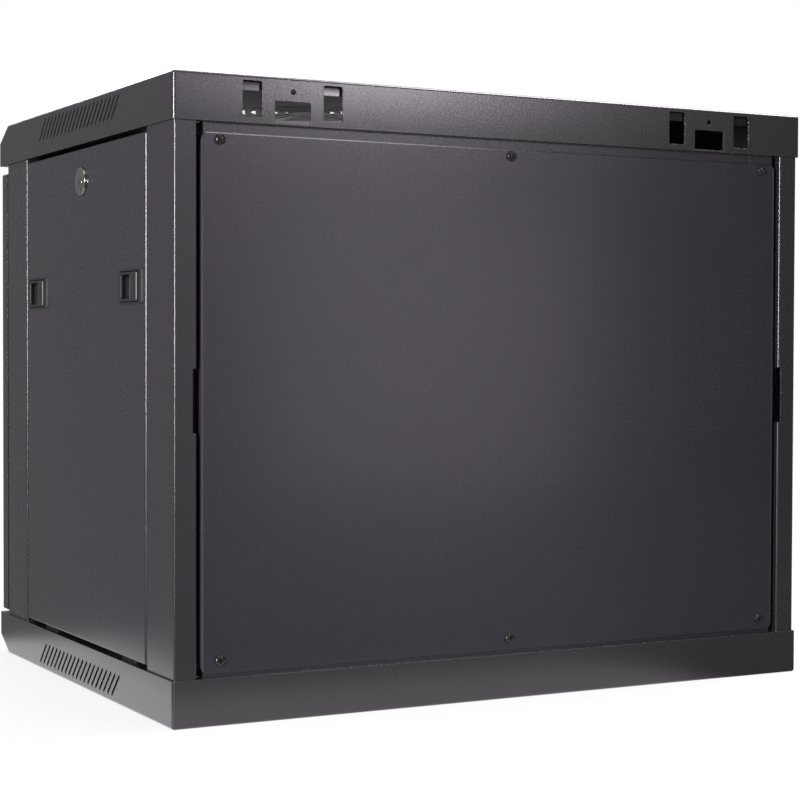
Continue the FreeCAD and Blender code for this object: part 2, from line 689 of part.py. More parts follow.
def pan_screw(name, length):
    """Cross-recess pan head screw, its head's seat at Z 0 and its shank down -Z."""
    screw = Piece(name, kept=False)
    shank = size("screw_radius")
    head = size("screw_head_radius")
    rise = size("screw_head_height")
    dome = rise * 0.45
    screw.turned([
        (0, -as_size(length)), (shank, -as_size(length)), (shank, 0), (head, 0), (head, rise - dome),
        (head * 0.72, rise - dome * 0.28), (head * 0.35, rise), (0, rise),
    ])
    arm = head * 0.5
    blade = head * 0.12
    for corners in (((-arm, -blade), (arm, blade)), ((-blade, -arm), (blade, arm))):
        (x0, y0), (x1, y1) = corners
        screw.block((x0, x1), (y0, y1), (rise - size("screw_head_height") * 0.6, rise + PAST), cut=True)
    return screw


entry_cover()


# ---------------------------------------------------------------- welded frame

def front_post(label, sign):
    piece = Piece(label)
    x = lambda value: mirrored(sign, value)
    wall = post_sheet
    back = front_face + size("front_post_return")
    lip = side_face - size("jamb_lip")
    outline = [
        (x(lip), front_jamb), (x(side_face), front_jamb), (x(side_face), front_face),
        (x(front_post_inner), front_face), (x(front_post_inner), back), (x(front_post_inner + wall), back),
        (x(front_post_inner + wall), front_face + wall), (x(side_face - wall), front_face + wall),
        (x(side_face - wall), front_jamb - wall), (x(lip), front_jamb - wall),
    ]
    piece.prism("XY", skirt, roof_low, outline)
    bends = [(side_face, front_jamb), (side_face, front_face), (front_post_inner, front_face)]
    bend_outside(piece, bends, sign)
    if sign > 0:
        axis = door_half - size("door_lock_inset")
        half = size("strike_width") / 2
        low = door_lock_height - size("strike_height") / 2 - strike_drop
        corners = [(axis - half, low), (axis + half, low), (axis + half, low + size("strike_height")),
                   (axis - half, low + size("strike_height"))]
        piece.prism("XZ", front_face - PAST, front_face + wall + PAST, corners, cut=True)
    return piece


door_lock_height = height / 2
strike_drop = (size("door_cam_reach") - size("cam_width") / 2) / 2


def bend_outside(piece, corners, sign):
    """Round the outside of the upright bends at these (X, Y) corners."""
    spots = [(float(across) * sign, float(along)) for across, along in corners]

    def at_corner(middle, heading):
        near = any(abs(middle.x - a) < 0.01 and abs(middle.y - b) < 0.01 for a, b in spots)
        return abs(heading.z) > 0.99 and near

    piece.round_edges(size("post_bend"), at_corner)


def rear_post(label, sign):
    piece = Piece(label)
    x = lambda value: mirrored(sign, value)
    wall = post_sheet
    lip = side_face - size("jamb_lip")
    floor = rear_face - size("rear_pocket_depth")
    step = rear_half_width - panel_sheet - size("pocket_clearance")
    outline = [
        (x(rear_seat_inner), rear_seat), (x(step), rear_seat), (x(step), floor),
        (x(rear_post_inner), floor), (x(rear_post_inner), rear_face), (x(side_face), rear_face),
        (x(side_face), rear_jamb), (x(lip), rear_jamb), (x(lip), rear_jamb + wall),
        (x(side_face - wall), rear_jamb + wall), (x(side_face - wall), rear_face - wall),
        (x(rear_post_inner + wall), rear_face - wall), (x(rear_post_inner + wall), floor - wall),
        (x(step - wall), floor - wall), (x(step - wall), rear_seat - wall),
        (x(rear_seat_inner), rear_seat - wall),
    ]
    piece.prism("XY", skirt, roof_low, outline)
    bend_outside(piece, [(side_face, rear_jamb), (side_face, rear_face), (rear_post_inner, rear_face)], sign)
    notch_low = height / 2 - size("notch_height") / 2
    notch_x = low_high(x(rear_post_inner - PAST), x(rear_post_inner + size("notch_depth")))
    notch_y = (floor + PAST, rear_face + PAST)
    piece.block(notch_x, notch_y, (notch_low, notch_low + size("notch_height")), cut=True)
    screw_x = rear_half_width - size("rear_screw_inset")
    for level in (rear_panel_low + size("rear_screw_low"), rear_panel_top - size("rear_screw_top")):
        hole = (x(screw_x), level)
        piece.disc("XZ", rear_seat - wall - PAST, rear_seat + PAST, hole, screw_hole, cut=True)
    return piece


HANDS = (("right", 1), ("left", -1))
for side, sign in HANDS:
    front_post(f"front_post_{side}", sign)
    rear_post(f"rear_post_{side}", sign)


def cross_rail(label, top, outer_y, facing, upright, foot, half):
    """Angle between two posts: an upright leg that faces out and a flat leg against the roof or base.

    top is 1 under the roof and -1 on the base; facing is 1 for the wall side and -1 for the door side.
    """
    piece = Piece(label)
    seat = roof_low if top > 0 else skirt
    wall = post_sheet
    inner = outer_y - wall * facing
    foot_end = outer_y - foot * facing
    tip = seat - upright * top
    corners = [(outer_y, tip), (outer_y, seat), (foot_end, seat), (foot_end, seat - wall * top),
               (inner, seat - wall * top), (inner, tip)]
    piece.prism("YZ", -half, half, corners)
    return piece


rail_half = rear_seat_inner - size("cross_rail_gap")
for label, top in (("rear_top_rail", 1), ("rear_bottom_rail", -1)):
    rail = cross_rail(label, top, rear_seat, 1, size("rear_rail_height"), size("rear_rail_foot"), rail_half)
    level = rear_panel_top - size("rear_screw_top") if top > 0 else rear_panel_low + size("rear_screw_low")
    through_rail = (rear_seat - post_sheet - PAST, rear_seat + PAST)
    rail.disc("XZ", *through_rail, (as_size(0), level), screw_hole, cut=True)
front_half = front_post_inner - size("cross_rail_gap")
for label, top in (("front_top_rail", 1), ("front_bottom_rail", -1)):
    cross_rail(label, top, front_face, -1, size("front_post_return"), size("rear_rail_foot"), front_half)


# ---------------------------------------------------------------- depth tubes and rack rails

tube_front = front_face + post_sheet
tube_rear = rear_face - size("rear_pocket_depth") - post_sheet
rail_low = skirt + size("rail_end_gap")
rail_top = roof_low - size("rail_end_gap")
rack_units = int(float(rail_top - rail_low) // SIZES["rack_unit"][0])
rack_low = (rail_low + rail_top) / 2 - size("rack_unit") * rack_units / 2
tube_levels = {
    "lower": skirt + size("tube_end_gap") + size("tube_height") / 2,
    "middle": size("latch_height"),
    "upper": roof_low - size("tube_end_gap") - size("tube_height") / 2,
}
rail_face_y = {"front": front_face + size("rail_setback"), "rear": rear_face - size("rail_rear_setback")}
rail_bolt_y = {
    "front": rail_face_y["front"] + size("rail_side") / 2,
    "rear": rail_face_y["rear"] - size("rail_side") / 2,
}
rail_bolt_hole = size("rail_bolt_radius") + size("rail_bolt_clearance")


def depth_tube(label, sign, level, tube_height):
    """Rectangular tube from front post to rear post, with holes for the rack rails' bolts."""
    piece = Piece(label)
    half = tube_height / 2
    wall = post_sheet
    across = low_high(mirrored(sign, rail_outer), mirrored(sign, tube_outer))
    hollow = low_high(mirrored(sign, rail_outer + wall), mirrored(sign, tube_outer - wall))
    piece.block(across, (tube_front, tube_rear), (level - half, level + half))
    through = (tube_front - PAST, tube_rear + PAST)
    piece.block(hollow, through, (level - half + wall, level + half - wall), cut=True)
    near = low_high(mirrored(sign, rail_outer - PAST), mirrored(sign, rail_outer + wall + PAST))
    for place in rail_bolt_y.values():
        piece.disc("YZ", *near, (place, level), rail_bolt_hole, cut=True)
    return piece


def keeper_windows(piece, sign):
    """Windows in the middle tube's outer web that the latch hooks enter and slide behind."""
    across = low_high(mirrored(sign, tube_outer - post_sheet - PAST), mirrored(sign, tube_outer + PAST))
    half = size("hook_tongue_height") / 2 + size("keeper_clearance")
    level = size("latch_height")
    for end in (-1, 1):
        middle = side_panel_middle + latch_out * end
        first = middle + (hook_start - size("keeper_clearance")) * sign
        last = middle + (hook_end + size("keeper_clearance")) * sign
        piece.block(across, low_high(first, last), (level - half, level + half), cut=True)


# latch hook along the panel, from the latch's centre, at rest
hook_start = -(size("latch_travel") + size("hook_neck") / 2)
hook_end = hook_start + size("hook_neck") + size("hook_overlap") + size("keeper_clearance")

for side, sign in HANDS:
    for place, level in tube_levels.items():
        name = "keeper_tube" if place == "middle" else f"{place}_depth_tube"
        tube_height = size("keeper_tube_height") if place == "middle" else size("tube_height")
        tube = depth_tube(f"{name}_{side}", sign, level, tube_height)
        if place == "middle":
            keeper_windows(tube, sign)


def rack_rail(label, sign, end):
    """Rack rail: an angle with three square holes in every rack unit.

    In a cabinet 600 wide the rails stand 450 apart, with hole columns 465.1 apart, for 19-inch equipment.
    """
    piece = Piece(label)
    facing = -1 if end == "front" else 1
    face = rail_face_y[end]
    wall = size("rail_sheet")
    inner_edge = rail_outer - size("rail_face")
    back = face - size("rail_side") * facing
    x = lambda value: mirrored(sign, value)
    outline = [
        (x(inner_edge), face), (x(rail_outer), face), (x(rail_outer), back), (x(rail_outer - wall), back),
        (x(rail_outer - wall), face - wall * facing), (x(inner_edge), face - wall * facing),
    ]
    piece.prism("XY", rail_low, rail_top, outline)
    half = size("rack_hole") / 2
    column = rail_outer - size("rack_hole_inset")
    for step in range(3):
        level = rack_low + size("rack_hole_first") + size("rack_hole_pitch") * step
        edges = low_high(x(column - half), x(column + half))
        corners = [(edges[0], level - half), (edges[1], level - half), (edges[1], level + half),
                   (edges[0], level + half)]
        through = low_high(face + facing, face - (wall + PAST) * facing)
        hole = piece.prism("XZ", *through, corners, cut=True)
        piece.row(hole, "Z", size("rack_unit") * (rack_units - 1), rack_units)
    near = low_high(x(rail_outer + PAST), x(rail_outer - wall - PAST))
    for level in tube_levels.values():
        piece.disc("YZ", *near, (rail_bolt_y[end], level), rail_bolt_hole, cut=True)
    return piece


for side, sign in HANDS:
    for end in ("front", "rear"):
        rack_rail(f"{end}_rack_rail_{side}", sign, end)


def hexagon(point):
    """Corners of a hexagon at this distance from its middle."""
    return [(point * math.cos(math.pi / 3 * k), point * math.sin(math.pi / 3 * k)) for k in range(6)]


def rail_fasteners():
    """Bolts through the rack rails into the depth tubes, each with a nut inside the tube."""
    bolts = []
    nuts = []
    for side, sign in HANDS:
        outward = Rotation(Vector(0, 1, 0), 90 * sign)
        inward = Rotation(Vector(0, 1, 0), -90 * sign)
        for end, along in rail_bolt_y.items():
            for place, level in tube_levels.items():
                bolt = Piece(f"rail_bolt_{side}_{end}_{place}", kept=False)
                grip = size("rail_sheet") + post_sheet + size("rail_nut_height") + 1
                head = size("rail_bolt_head")
                shank = size("rail_bolt_radius")
                rise = size("rail_bolt_head_height")
                bolt.turned([(0, -grip), (shank, -grip), (shank, 0), (head, 0), (head, rise * 0.5),
                             (head * 0.7, rise * 0.9), (head * 0.3, rise), (0, rise)])
                bolt.place(mirrored(sign, rail_side_x), along, level, inward)
                bolts.append(bolt)
                nut = Piece(f"rail_nut_{side}_{end}_{place}", kept=False)
                flats = size("rail_nut_flats") / 2
                nut.prism("XY", as_size(0), size("rail_nut_height"), hexagon(flats / math.cos(math.pi / 6)))
                bore = size("rail_bolt_radius")
                through = (as_size(-PAST), size("rail_nut_height") + PAST)
                nut.disc("XY", *through, (as_size(0), as_size(0)), bore, cut=True)
                nut.place(mirrored(sign, rail_outer + post_sheet), along, level, outward)
                nuts.append(nut)
    grouped("rack_rail_bolts", bolts)
    grouped("rack_rail_nuts", nuts)


rail_fasteners()


# ---------------------------------------------------------------- rear panel

def rear_panel():
    """Flat sheet with bent side edges, held by a screw at each corner and two at mid width."""
    piece = Piece("rear_panel")
    across = (-rear_half_width, rear_half_width)
    up = (rear_panel_low, rear_panel_top)
    piece.block(across, (panel_face_y - panel_sheet, panel_face_y), up)
    corner = size("rear_panel_corner")
    for sign in (-1, 1):
        edge_x = low_high(mirrored(sign, rear_half_width), mirrored(sign, rear_half_width - panel_sheet))
        edge_y = (panel_face_y - size("rear_panel_edge"), panel_face_y)
        piece.block(edge_x, edge_y, (rear_panel_low + corner, rear_panel_top - corner))

    def face_corner(middle, heading):
        at_side = abs(abs(middle.x) - float(rear_half_width)) < 0.01
        at_end = min(abs(middle.z - float(up[0])), abs(middle.z - float(up[1]))) < 0.01
        return abs(heading.y) > 0.99 and at_side and at_end

    piece.round_edges(corner - panel_sheet / 2, face_corner)

    def outer_edge(middle, heading):
        on_face = abs(middle.y - float(panel_face_y)) < 0.01
        return on_face and abs(heading.z) > 0.99

    piece.round_edges(size("rear_panel_bend"), outer_edge)

    screw_x = rear_half_width - size("rear_screw_inset")
    levels = (rear_panel_low + size("rear_screw_low"), rear_panel_top - size("rear_screw_top"))
    screws = []
    for level_number, level in enumerate(levels, start=1):
        for place in (-1, 0, 1):
            hole = (screw_x * place, level)
            through = (panel_face_y - panel_sheet - PAST, panel_face_y + PAST)
            piece.disc("XZ", *through, hole, screw_hole, cut=True)
            screw = pan_screw(f"rear_screw_{level_number}_{place + 2}", size("screw_length"))
            screw.place(hole[0], panel_face_y, level, Rotation(Vector(1, 0, 0), -90))
            screws.append(screw)
    grouped("rear_panel_screws", screws)
    return piece


rear_panel()


# ---------------------------------------------------------------- side panels

def side_panel(label, sign):
    """Shallow pan with bent edges all round, two bottom lugs, a lock hole and two latch openings."""
    piece = Piece(label)
    x = lambda value: mirrored(sign, value)
    along = (side_panel_front, side_panel_rear)
    up = (side_panel_low, side_panel_top)
    piece.block(low_high(x(side_edge_inner), x(side_face)), along, up)

    def outer_bend(middle, heading):
        on_face = abs(abs(middle.x) - float(side_face)) < 0.01
        corner_y = min(abs(middle.y - float(along[0])), abs(middle.y - float(along[1]))) < 0.01
        corner_z = min(abs(middle.z - float(up[0])), abs(middle.z - float(up[1]))) < 0.01
        return on_face or (corner_y and corner_z)

    piece.round_edges(size("side_panel_bend"), outer_bend)
    hollow_y = (along[0] + panel_sheet, along[1] - panel_sheet)
    hollow_z = (up[0] + panel_sheet, up[1] - panel_sheet)
    piece.block(low_high(x(side_edge_inner - PAST), x(side_panel_inner)), hollow_y, hollow_z, cut=True)
    flange_edge = half_width - size("cover_flange")
    stem_outer = flange_edge - size("lug_gap")
    stem_inner = stem_outer - panel_sheet
    heel = stem_outer + panel_sheet + size("lug_seat")
    for end in (-1, 1):
        middle = side_panel_middle + (side_panel_half - size("lug_inset")) * end
        reach = (middle - size("lug_width") / 2, middle + size("lug_width") / 2)
        outline = [
            (x(stem_inner), skirt - size("lug_reach")), (x(stem_outer), skirt - size("lug_reach")),
            (x(stem_outer), skirt), (x(heel), skirt), (x(heel), up[0] + panel_sheet / 2),
            (x(heel - panel_sheet), up[0] + panel_sheet / 2), (x(heel - panel_sheet), skirt + panel_sheet),
            (x(stem_inner), skirt + panel_sheet),
        ]
        piece.prism("XZ", *reach, outline)
    through = low_high(x(side_panel_inner - PAST), x(side_face + PAST))
    piece.disc("YZ", *through, (side_panel_middle, size("lock_height")), lock_hole, cut=True)
    for end in (-1, 1):
        middle = side_panel_middle + latch_out * end
        front = middle + (latch_body_front - size("latch_fit")) * sign
        rear = middle + (latch_body_rear + size("latch_fit")) * sign
        half = latch_body_half + size("latch_fit")
        low = size("latch_height") - half
        piece.block(through, low_high(front, rear), (low, low + half * 2), cut=True)
    return piece


latch_half = size("latch_length") / 2
latch_window_front = -latch_half + size("latch_rim_front")
latch_window_rear = latch_half - size("latch_rim_rear")
latch_window_half = size("latch_width") / 2 - size("latch_rim_side")
latch_body_front = latch_window_front - size("latch_wall")
latch_body_rear = latch_window_rear + size("latch_wall")
latch_body_half = latch_window_half + size("latch_wall")
slider_front = latch_window_front + size("slider_clearance")
slider_rear = latch_window_rear - size("slider_clearance") - size("latch_travel")

for side, sign in HANDS:
    side_panel(f"side_panel_{side}", sign)


# ---------------------------------------------------------------- slide latches
# Each latch is shaped about its own centre: X along its travel, Y up the panel, Z out of the panel,
# Z 0 on the panel's outer face. It is then turned to stand on the panel.

def side_turn(sign):
    """X of a latch or lock to +Y on the right side and -Y on the left, Z outwards, Y upwards."""
    return Rotation(Vector(0, sign, 0), Vector(0, 0, 1), Vector(sign, 0, 0), "ZXY")


def latch(side, sign, end, end_sign):
    place = (mirrored(sign, side_face), side_panel_middle + latch_out * end_sign,
             size("latch_height"))
    half = size("latch_width") / 2
    back = -size("latch_depth")
    wall = size("latch_wall")
    window_x = (latch_window_front, latch_window_rear)
    window_y = (-latch_window_half, latch_window_half)

    frame = Piece(f"latch_frame_{side}_{end}")
    frame.block((-latch_half, latch_half), (-half, half), (as_size(0), size("latch_flange")))

    def rim_edge(middle, heading):
        on_top = abs(middle.z - SIZES["latch_flange"][0]) < 0.01
        return on_top or abs(heading.z) > 0.99

    frame.round_edges(size("latch_flange") * 0.6, rim_edge)
    frame.block((latch_body_front, latch_body_rear), (-latch_body_half, latch_body_half),
                (back, size("latch_flange") / 2))
    frame.block(window_x, window_y, (back + wall, size("latch_flange") + PAST), cut=True)
    neck_half = size("hook_tongue_height") / 2 + size("slider_clearance")
    neck_x = (hook_start - size("slider_clearance"),
              hook_end + size("latch_travel") + size("slider_clearance"))
    frame.block(neck_x, (-neck_half, neck_half), (back - PAST, back + wall + PAST), cut=True)
    frame.place(*place, side_turn(sign))

    slider = Piece(f"latch_slider_{side}_{end}")
    slider_half = latch_window_half - size("slider_clearance")
    floor = back + wall + size("slider_clearance")
    crown = size("latch_flange") + size("slider_rise")
    slider.block((slider_front, slider_rear), (-slider_half, slider_half), (floor, crown))

    def crown_edge(middle, heading):
        return abs(middle.z - float(crown)) < 0.01

    slider.round_edges(size("slider_rise") * 0.6, crown_edge)
    finger_front = slider_front + size("finger_inset")
    finger_half = size("finger_height") / 2
    slider.block((finger_front, finger_front + size("finger_length")), (-finger_half, finger_half),
                 (floor + size("finger_floor"), crown + PAST), cut=True)
    tongue_half = size("hook_tongue_height") / 2
    web_outer = tube_outer - side_face
    web_inner = web_outer - post_sheet
    tip_top = web_inner - size("hook_play")
    tip_low = tip_top - size("hook_tip")
    slider.block((hook_start, hook_start + size("hook_neck")), (-tongue_half, tongue_half),
                 (tip_low, floor + size("finger_floor") / 2))
    slider.block((hook_start, hook_end), (-tongue_half, tongue_half), (tip_low, tip_top))
    slider.place(*place, side_turn(sign))


for side, sign in HANDS:
    for end, end_sign in (("front", -1), ("rear", 1)):
        latch(side, sign, end, end_sign)


# ---------------------------------------------------------------- cam locks
# A lock is shaped with Z out of the panel and Z 0 on the panel's outer face; its cam is unlocked.

def cam_lock(prefix, place, turn, cam_level, cam_reach, barrel_end, mounted_sheet, cam_heading):
    """Housing, key plug, cam and nut of one quarter-turn lock."""
    nothing = (as_size(0), as_size(0))
    bezel = size("lock_bezel")
    bezel_radius = size("lock_bezel_radius")
    barrel = size("lock_barrel_radius")
    housing = Piece(f"{prefix}_housing")
    housing.turned([
        (lock_plug_bore, barrel_end), (barrel, barrel_end), (barrel, 0), (bezel_radius, 0),
        (bezel_radius, bezel * 0.35), (bezel_radius - bezel * 0.5, bezel),
        (lock_plug_bore + 1.6, bezel), (lock_plug_bore, bezel * 0.45),
    ])
    housing.place(*place, turn)

    plug = Piece(f"{prefix}_plug")
    face = bezel * 0.7
    radius = size("lock_plug_radius")
    plug.disc("XY", barrel_end, face, nothing, radius)
    square = size("cam_square") / 2
    square_up = (cam_level - size("cam_sheet") - size("cam_stub"), barrel_end + size("cam_boss"))
    plug.block((-square, square), (-square, square), square_up)
    half_key = size("keyway_length") / 2
    half_slot = size("keyway_width") / 2
    key_depth = (face - size("keyway_depth"), face + PAST)
    plug.block((-half_slot, half_slot), (-half_key, half_key), key_depth, cut=True)
    plug.place(*place, turn)

    cam = Piece(f"{prefix}_cam")
    half = size("cam_width") / 2
    low = cam_level - size("cam_sheet")
    tip = cam_tip(cam_heading, cam_reach - half)
    cam.slot("XY", low, cam_level, nothing, tip, size("cam_width"), cut=False)
    cam.block((-square, square), (-square, square), (low - PAST, cam_level + PAST), cut=True)
    cam.place(*place, turn)

    nut = Piece(f"{prefix}_nut")
    top = -as_size(mounted_sheet)
    nut_low = top - size("lock_nut_height")
    nut.prism("XY", nut_low, top, hexagon(size("lock_nut_radius")))
    nut.disc("XY", nut_low - PAST, top + PAST, nothing, barrel, cut=True)
    nut.place(*place, turn)


def cam_tip(direction, reach):
    across, up = direction
    return (as_size(reach) * across, as_size(reach) * up)


side_barrel_end = side_edge_inner - side_face + size("lock_barrel_gap")
for side, sign in HANDS:
    spot = (mirrored(sign, side_face), side_panel_middle, size("lock_height"))
    cam_level = side_cam_outer - side_face
    cam_lock(f"side_lock_{side}", spot, side_turn(sign), cam_level, size("side_cam_reach"), side_barrel_end,
             panel_sheet, (-1, 0))

door_upright = Rotation(Vector(1, 0, 0), Vector(0, 0, 1), Vector(0, -1, 0), "ZXY")
door_lock_spot = (door_half - size("door_lock_inset"), door_front, door_lock_height)
door_cam_level = door_front - front_face - post_sheet - size("door_cam_gap")
cam_lock("door_lock", door_lock_spot, door_upright, door_cam_level, size("door_cam_reach"),
         -size("door_thickness") - size("lock_barrel_reach"), size("door_sheet"), (0, -1))


# ---------------------------------------------------------------- front door

def door_frame():
    """Folded steel frame around the glass, with inward returns at the back."""
    piece = Piece("door_frame")
    full_x = (-door_half, door_half)
    full_z = (door_low, door_top)
    piece.block(full_x, (door_front, door_back), full_z)

    def outer_bend(middle, heading):
        at_side = abs(abs(middle.x) - float(door_half)) < 0.01
        at_end = min(abs(middle.z - float(door_low)), abs(middle.z - float(door_top))) < 0.01
        on_front = abs(middle.y - float(door_front)) < 0.01
        return on_front or (at_side and at_end)

    piece.round_edges(size("side_panel_bend"), outer_bend)
    wall = size("door_sheet")
    inner_x = (full_x[0] + wall, full_x[1] - wall)
    inner_z = (full_z[0] + wall, full_z[1] - wall)
    piece.block(inner_x, (door_front + wall, door_back - wall), inner_z, cut=True)
    back = size("door_return")
    piece.block((full_x[0] + back, full_x[1] - back), (door_back - wall - PAST, door_back + PAST),
                (full_z[0] + back, full_z[1] - back), cut=True)
    piece.block((-door_window_half, door_window_half), (door_front - PAST, door_front + wall + PAST),
                (door_window_low, door_window_top), cut=True)
    axis = hinge_axis()
    hole = size("hinge_pin_radius")
    piece.disc("XY", door_low - PAST, door_low + wall + PAST, axis, hole, cut=True)
    piece.disc("XY", door_top - wall - PAST, door_top + PAST, axis, hole, cut=True)
    piece.disc("XZ", door_front - PAST, door_front + wall + PAST, (door_lock_spot[0], door_lock_height),
               lock_hole, cut=True)
    return piece


def framed(piece, half, low, high, margin, levels, inner_margin):
    """Flat ring around the door's window."""
    piece.block((-half - margin, half + margin), levels, (low - margin, high + margin))
    piece.block((-half - inner_margin, half + inner_margin), (levels[0] - PAST, levels[1] + PAST),
                (low - inner_margin, high + inner_margin), cut=True)


door_window_half = door_half - size("door_side_border")
door_window_low = door_low + size("door_end_border")
door_window_top = door_top - size("door_end_border")


def glass_and_seal():
    """Toughened glass held behind the door frame's window in a channel seal."""
    seal_front = door_front + size("door_sheet")
    glass_front = seal_front + size("seal_wall")
    glass_back = glass_front + size("glass_sheet")
    seal_back = glass_back + size("seal_wall")
    bite = size("glass_bite")
    seal = Piece("glass_seal")
    framed(seal, door_window_half, door_window_low, door_window_top, size("seal_lap"),
           (seal_front, seal_back), as_size(0.5))
    half = door_window_half + bite
    pane = ((-half, half), (glass_front, glass_back), (door_window_low - bite, door_window_top + bite))
    seal.block(*pane, cut=True)
    glass = Piece("door_glass")
    glass.block(*pane)


def hinge_parts():
    """Pins fixed in the door's ends, turning in flanged bushes in the roof's and base's front flanges."""
    axis = hinge_axis()
    radius = size("hinge_pin_radius")
    bore = radius + size("lock_fit")
    sleeve = bore + size("bush_wall")
    flange = size("bush_flange_radius")
    for end, top in (("top", 1), ("bottom", -1)):
        seat = roof_low if top > 0 else skirt
        door_end = door_top if top > 0 else door_low
        tip = seat + (cover_sheet + size("hinge_pin_reach")) * top
        root = door_end - size("hinge_pin_grip") * top
        pin = Piece(f"hinge_pin_{end}")
        pin.disc("XY", *low_high(root, tip), axis, radius)
        bush = Piece(f"hinge_bush_{end}")
        bush.disc("XY", *low_high(seat, seat - size("bush_flange") * top), axis, flange)
        bush.disc("XY", *low_high(seat, seat + cover_sheet * top), axis, sleeve)
        beyond = low_high(seat + (cover_sheet + PAST) * top, seat - (size("bush_flange") + PAST) * top)
        bush.disc("XY", *beyond, axis, bore, cut=True)


door_frame()
glass_and_seal()
hinge_parts()


# ---------------------------------------------------------------- build, check and write

document.recompute()
for item in document.Objects:
    failed = [state for state in item.State if state in ("Invalid", "Error")]
    if failed:
        raise RuntimeError(f"{item.Name} did not build: {item.State}")
labels = [item.Label for item in finished]
if len(set(labels)) != len(labels) or len(labels) > 60:
    raise RuntimeError("sub-part labels repeat or are too many")
for item in finished:
    if item.Shape.isNull() or not item.Shape.isValid() or not item.Shape.Solids:
        raise RuntimeError(f"{item.Label} has no valid solid")
os.makedirs("parts", exist_ok=True)
for item in finished:
    item.Shape.exportStep(f"parts/{item.Label}.step")
    print(f"{item.Label:28s} solids {len(item.Shape.Solids)} volume {item.Shape.Volume:.0f}")
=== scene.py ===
"""Finished look of a nine-unit wall mount network cabinet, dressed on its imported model.

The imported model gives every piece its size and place. Here each piece gets its finish, the turned
and moulded pieces get fuller shapes, and a plain studio stands around the cabinet.
Metres. +Z is up, the door faces -Y, the wall side faces +Y, and "right" pieces stand at +X.
"""

from __future__ import annotations

import json
import logging
import math
from abc import ABC, abstractmethod
from dataclasses import dataclass
from enum import Enum
from typing import Callable, Mapping, Optional, Sequence, Union

import bmesh
import bpy
import numpy as np
from mathutils import Matrix, Vector


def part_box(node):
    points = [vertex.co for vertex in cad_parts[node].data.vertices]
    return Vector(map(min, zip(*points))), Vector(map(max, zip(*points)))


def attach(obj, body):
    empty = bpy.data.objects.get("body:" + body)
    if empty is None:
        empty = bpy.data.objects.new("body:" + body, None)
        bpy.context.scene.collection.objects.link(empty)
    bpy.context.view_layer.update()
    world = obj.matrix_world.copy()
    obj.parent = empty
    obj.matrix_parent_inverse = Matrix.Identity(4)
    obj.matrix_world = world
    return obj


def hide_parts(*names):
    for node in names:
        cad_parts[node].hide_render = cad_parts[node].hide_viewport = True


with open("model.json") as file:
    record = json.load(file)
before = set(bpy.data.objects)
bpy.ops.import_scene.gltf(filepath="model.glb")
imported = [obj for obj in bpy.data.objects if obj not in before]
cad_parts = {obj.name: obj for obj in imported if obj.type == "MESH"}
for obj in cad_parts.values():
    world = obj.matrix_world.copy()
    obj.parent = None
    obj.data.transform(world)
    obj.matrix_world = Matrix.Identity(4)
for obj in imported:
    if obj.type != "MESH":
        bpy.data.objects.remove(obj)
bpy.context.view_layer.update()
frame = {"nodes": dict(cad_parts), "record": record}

LOG = logging.getLogger("cabinet")
MM = 0.001
Colour = tuple[float, float, float]
Place = tuple[float, float, float]
Span = tuple[float, float, float]
Pair = tuple[float, float]
Number = Union["Socket", float]
WHITE: Colour = (1.0, 1.0, 1.0)


# ---------------------------------------------------------------- shader maths

def maths(operation: str, reflected: bool = False) -> Callable[[Socket, Number], Socket]:
    """A method that adds a Math node over its socket and another number.

    Args:
        operation: The node's operation.
        reflected: True where the other number comes first.

    Returns:
        The method.
    """
    def method(self: Socket, other: Number) -> Socket:
        """The operation's result."""
        values = (other, self) if reflected else (self, other)
        return self.recipe.node("ShaderNodeMath", {"operation": operation}, dict(enumerate(values)))
    return method


@dataclass(frozen=True)
class Socket:
    """One output of a node tree. Arithmetic on it adds the nodes that work it out."""

    recipe: Recipe
    link: Optional[bpy.types.NodeSocket]

    __add__ = maths("ADD")
    __radd__ = maths("ADD", reflected=True)
    __sub__ = maths("SUBTRACT")
    __rsub__ = maths("SUBTRACT", reflected=True)
    __mul__ = maths("MULTIPLY")
    __rmul__ = maths("MULTIPLY", reflected=True)
    __pow__ = maths("POWER")
    largest = maths("MAXIMUM")

    def unsigned(self) -> Socket:
        """The number without its sign."""
        return self.largest(self * -1.0)

    def spread(self, low: float, high: float) -> Socket:
        """A number between 0 and 1 moved between low and high."""
        return low + self * (high - low)

    def step(self, low: float, high: float) -> Socket:
        """Smooth step from 0 at low to 1 at high."""
        inputs = {"Value": self, "From Min": low, "From Max": high}
        return self.recipe.node("ShaderNodeMapRange", {"interpolation_type": "SMOOTHSTEP"}, inputs)


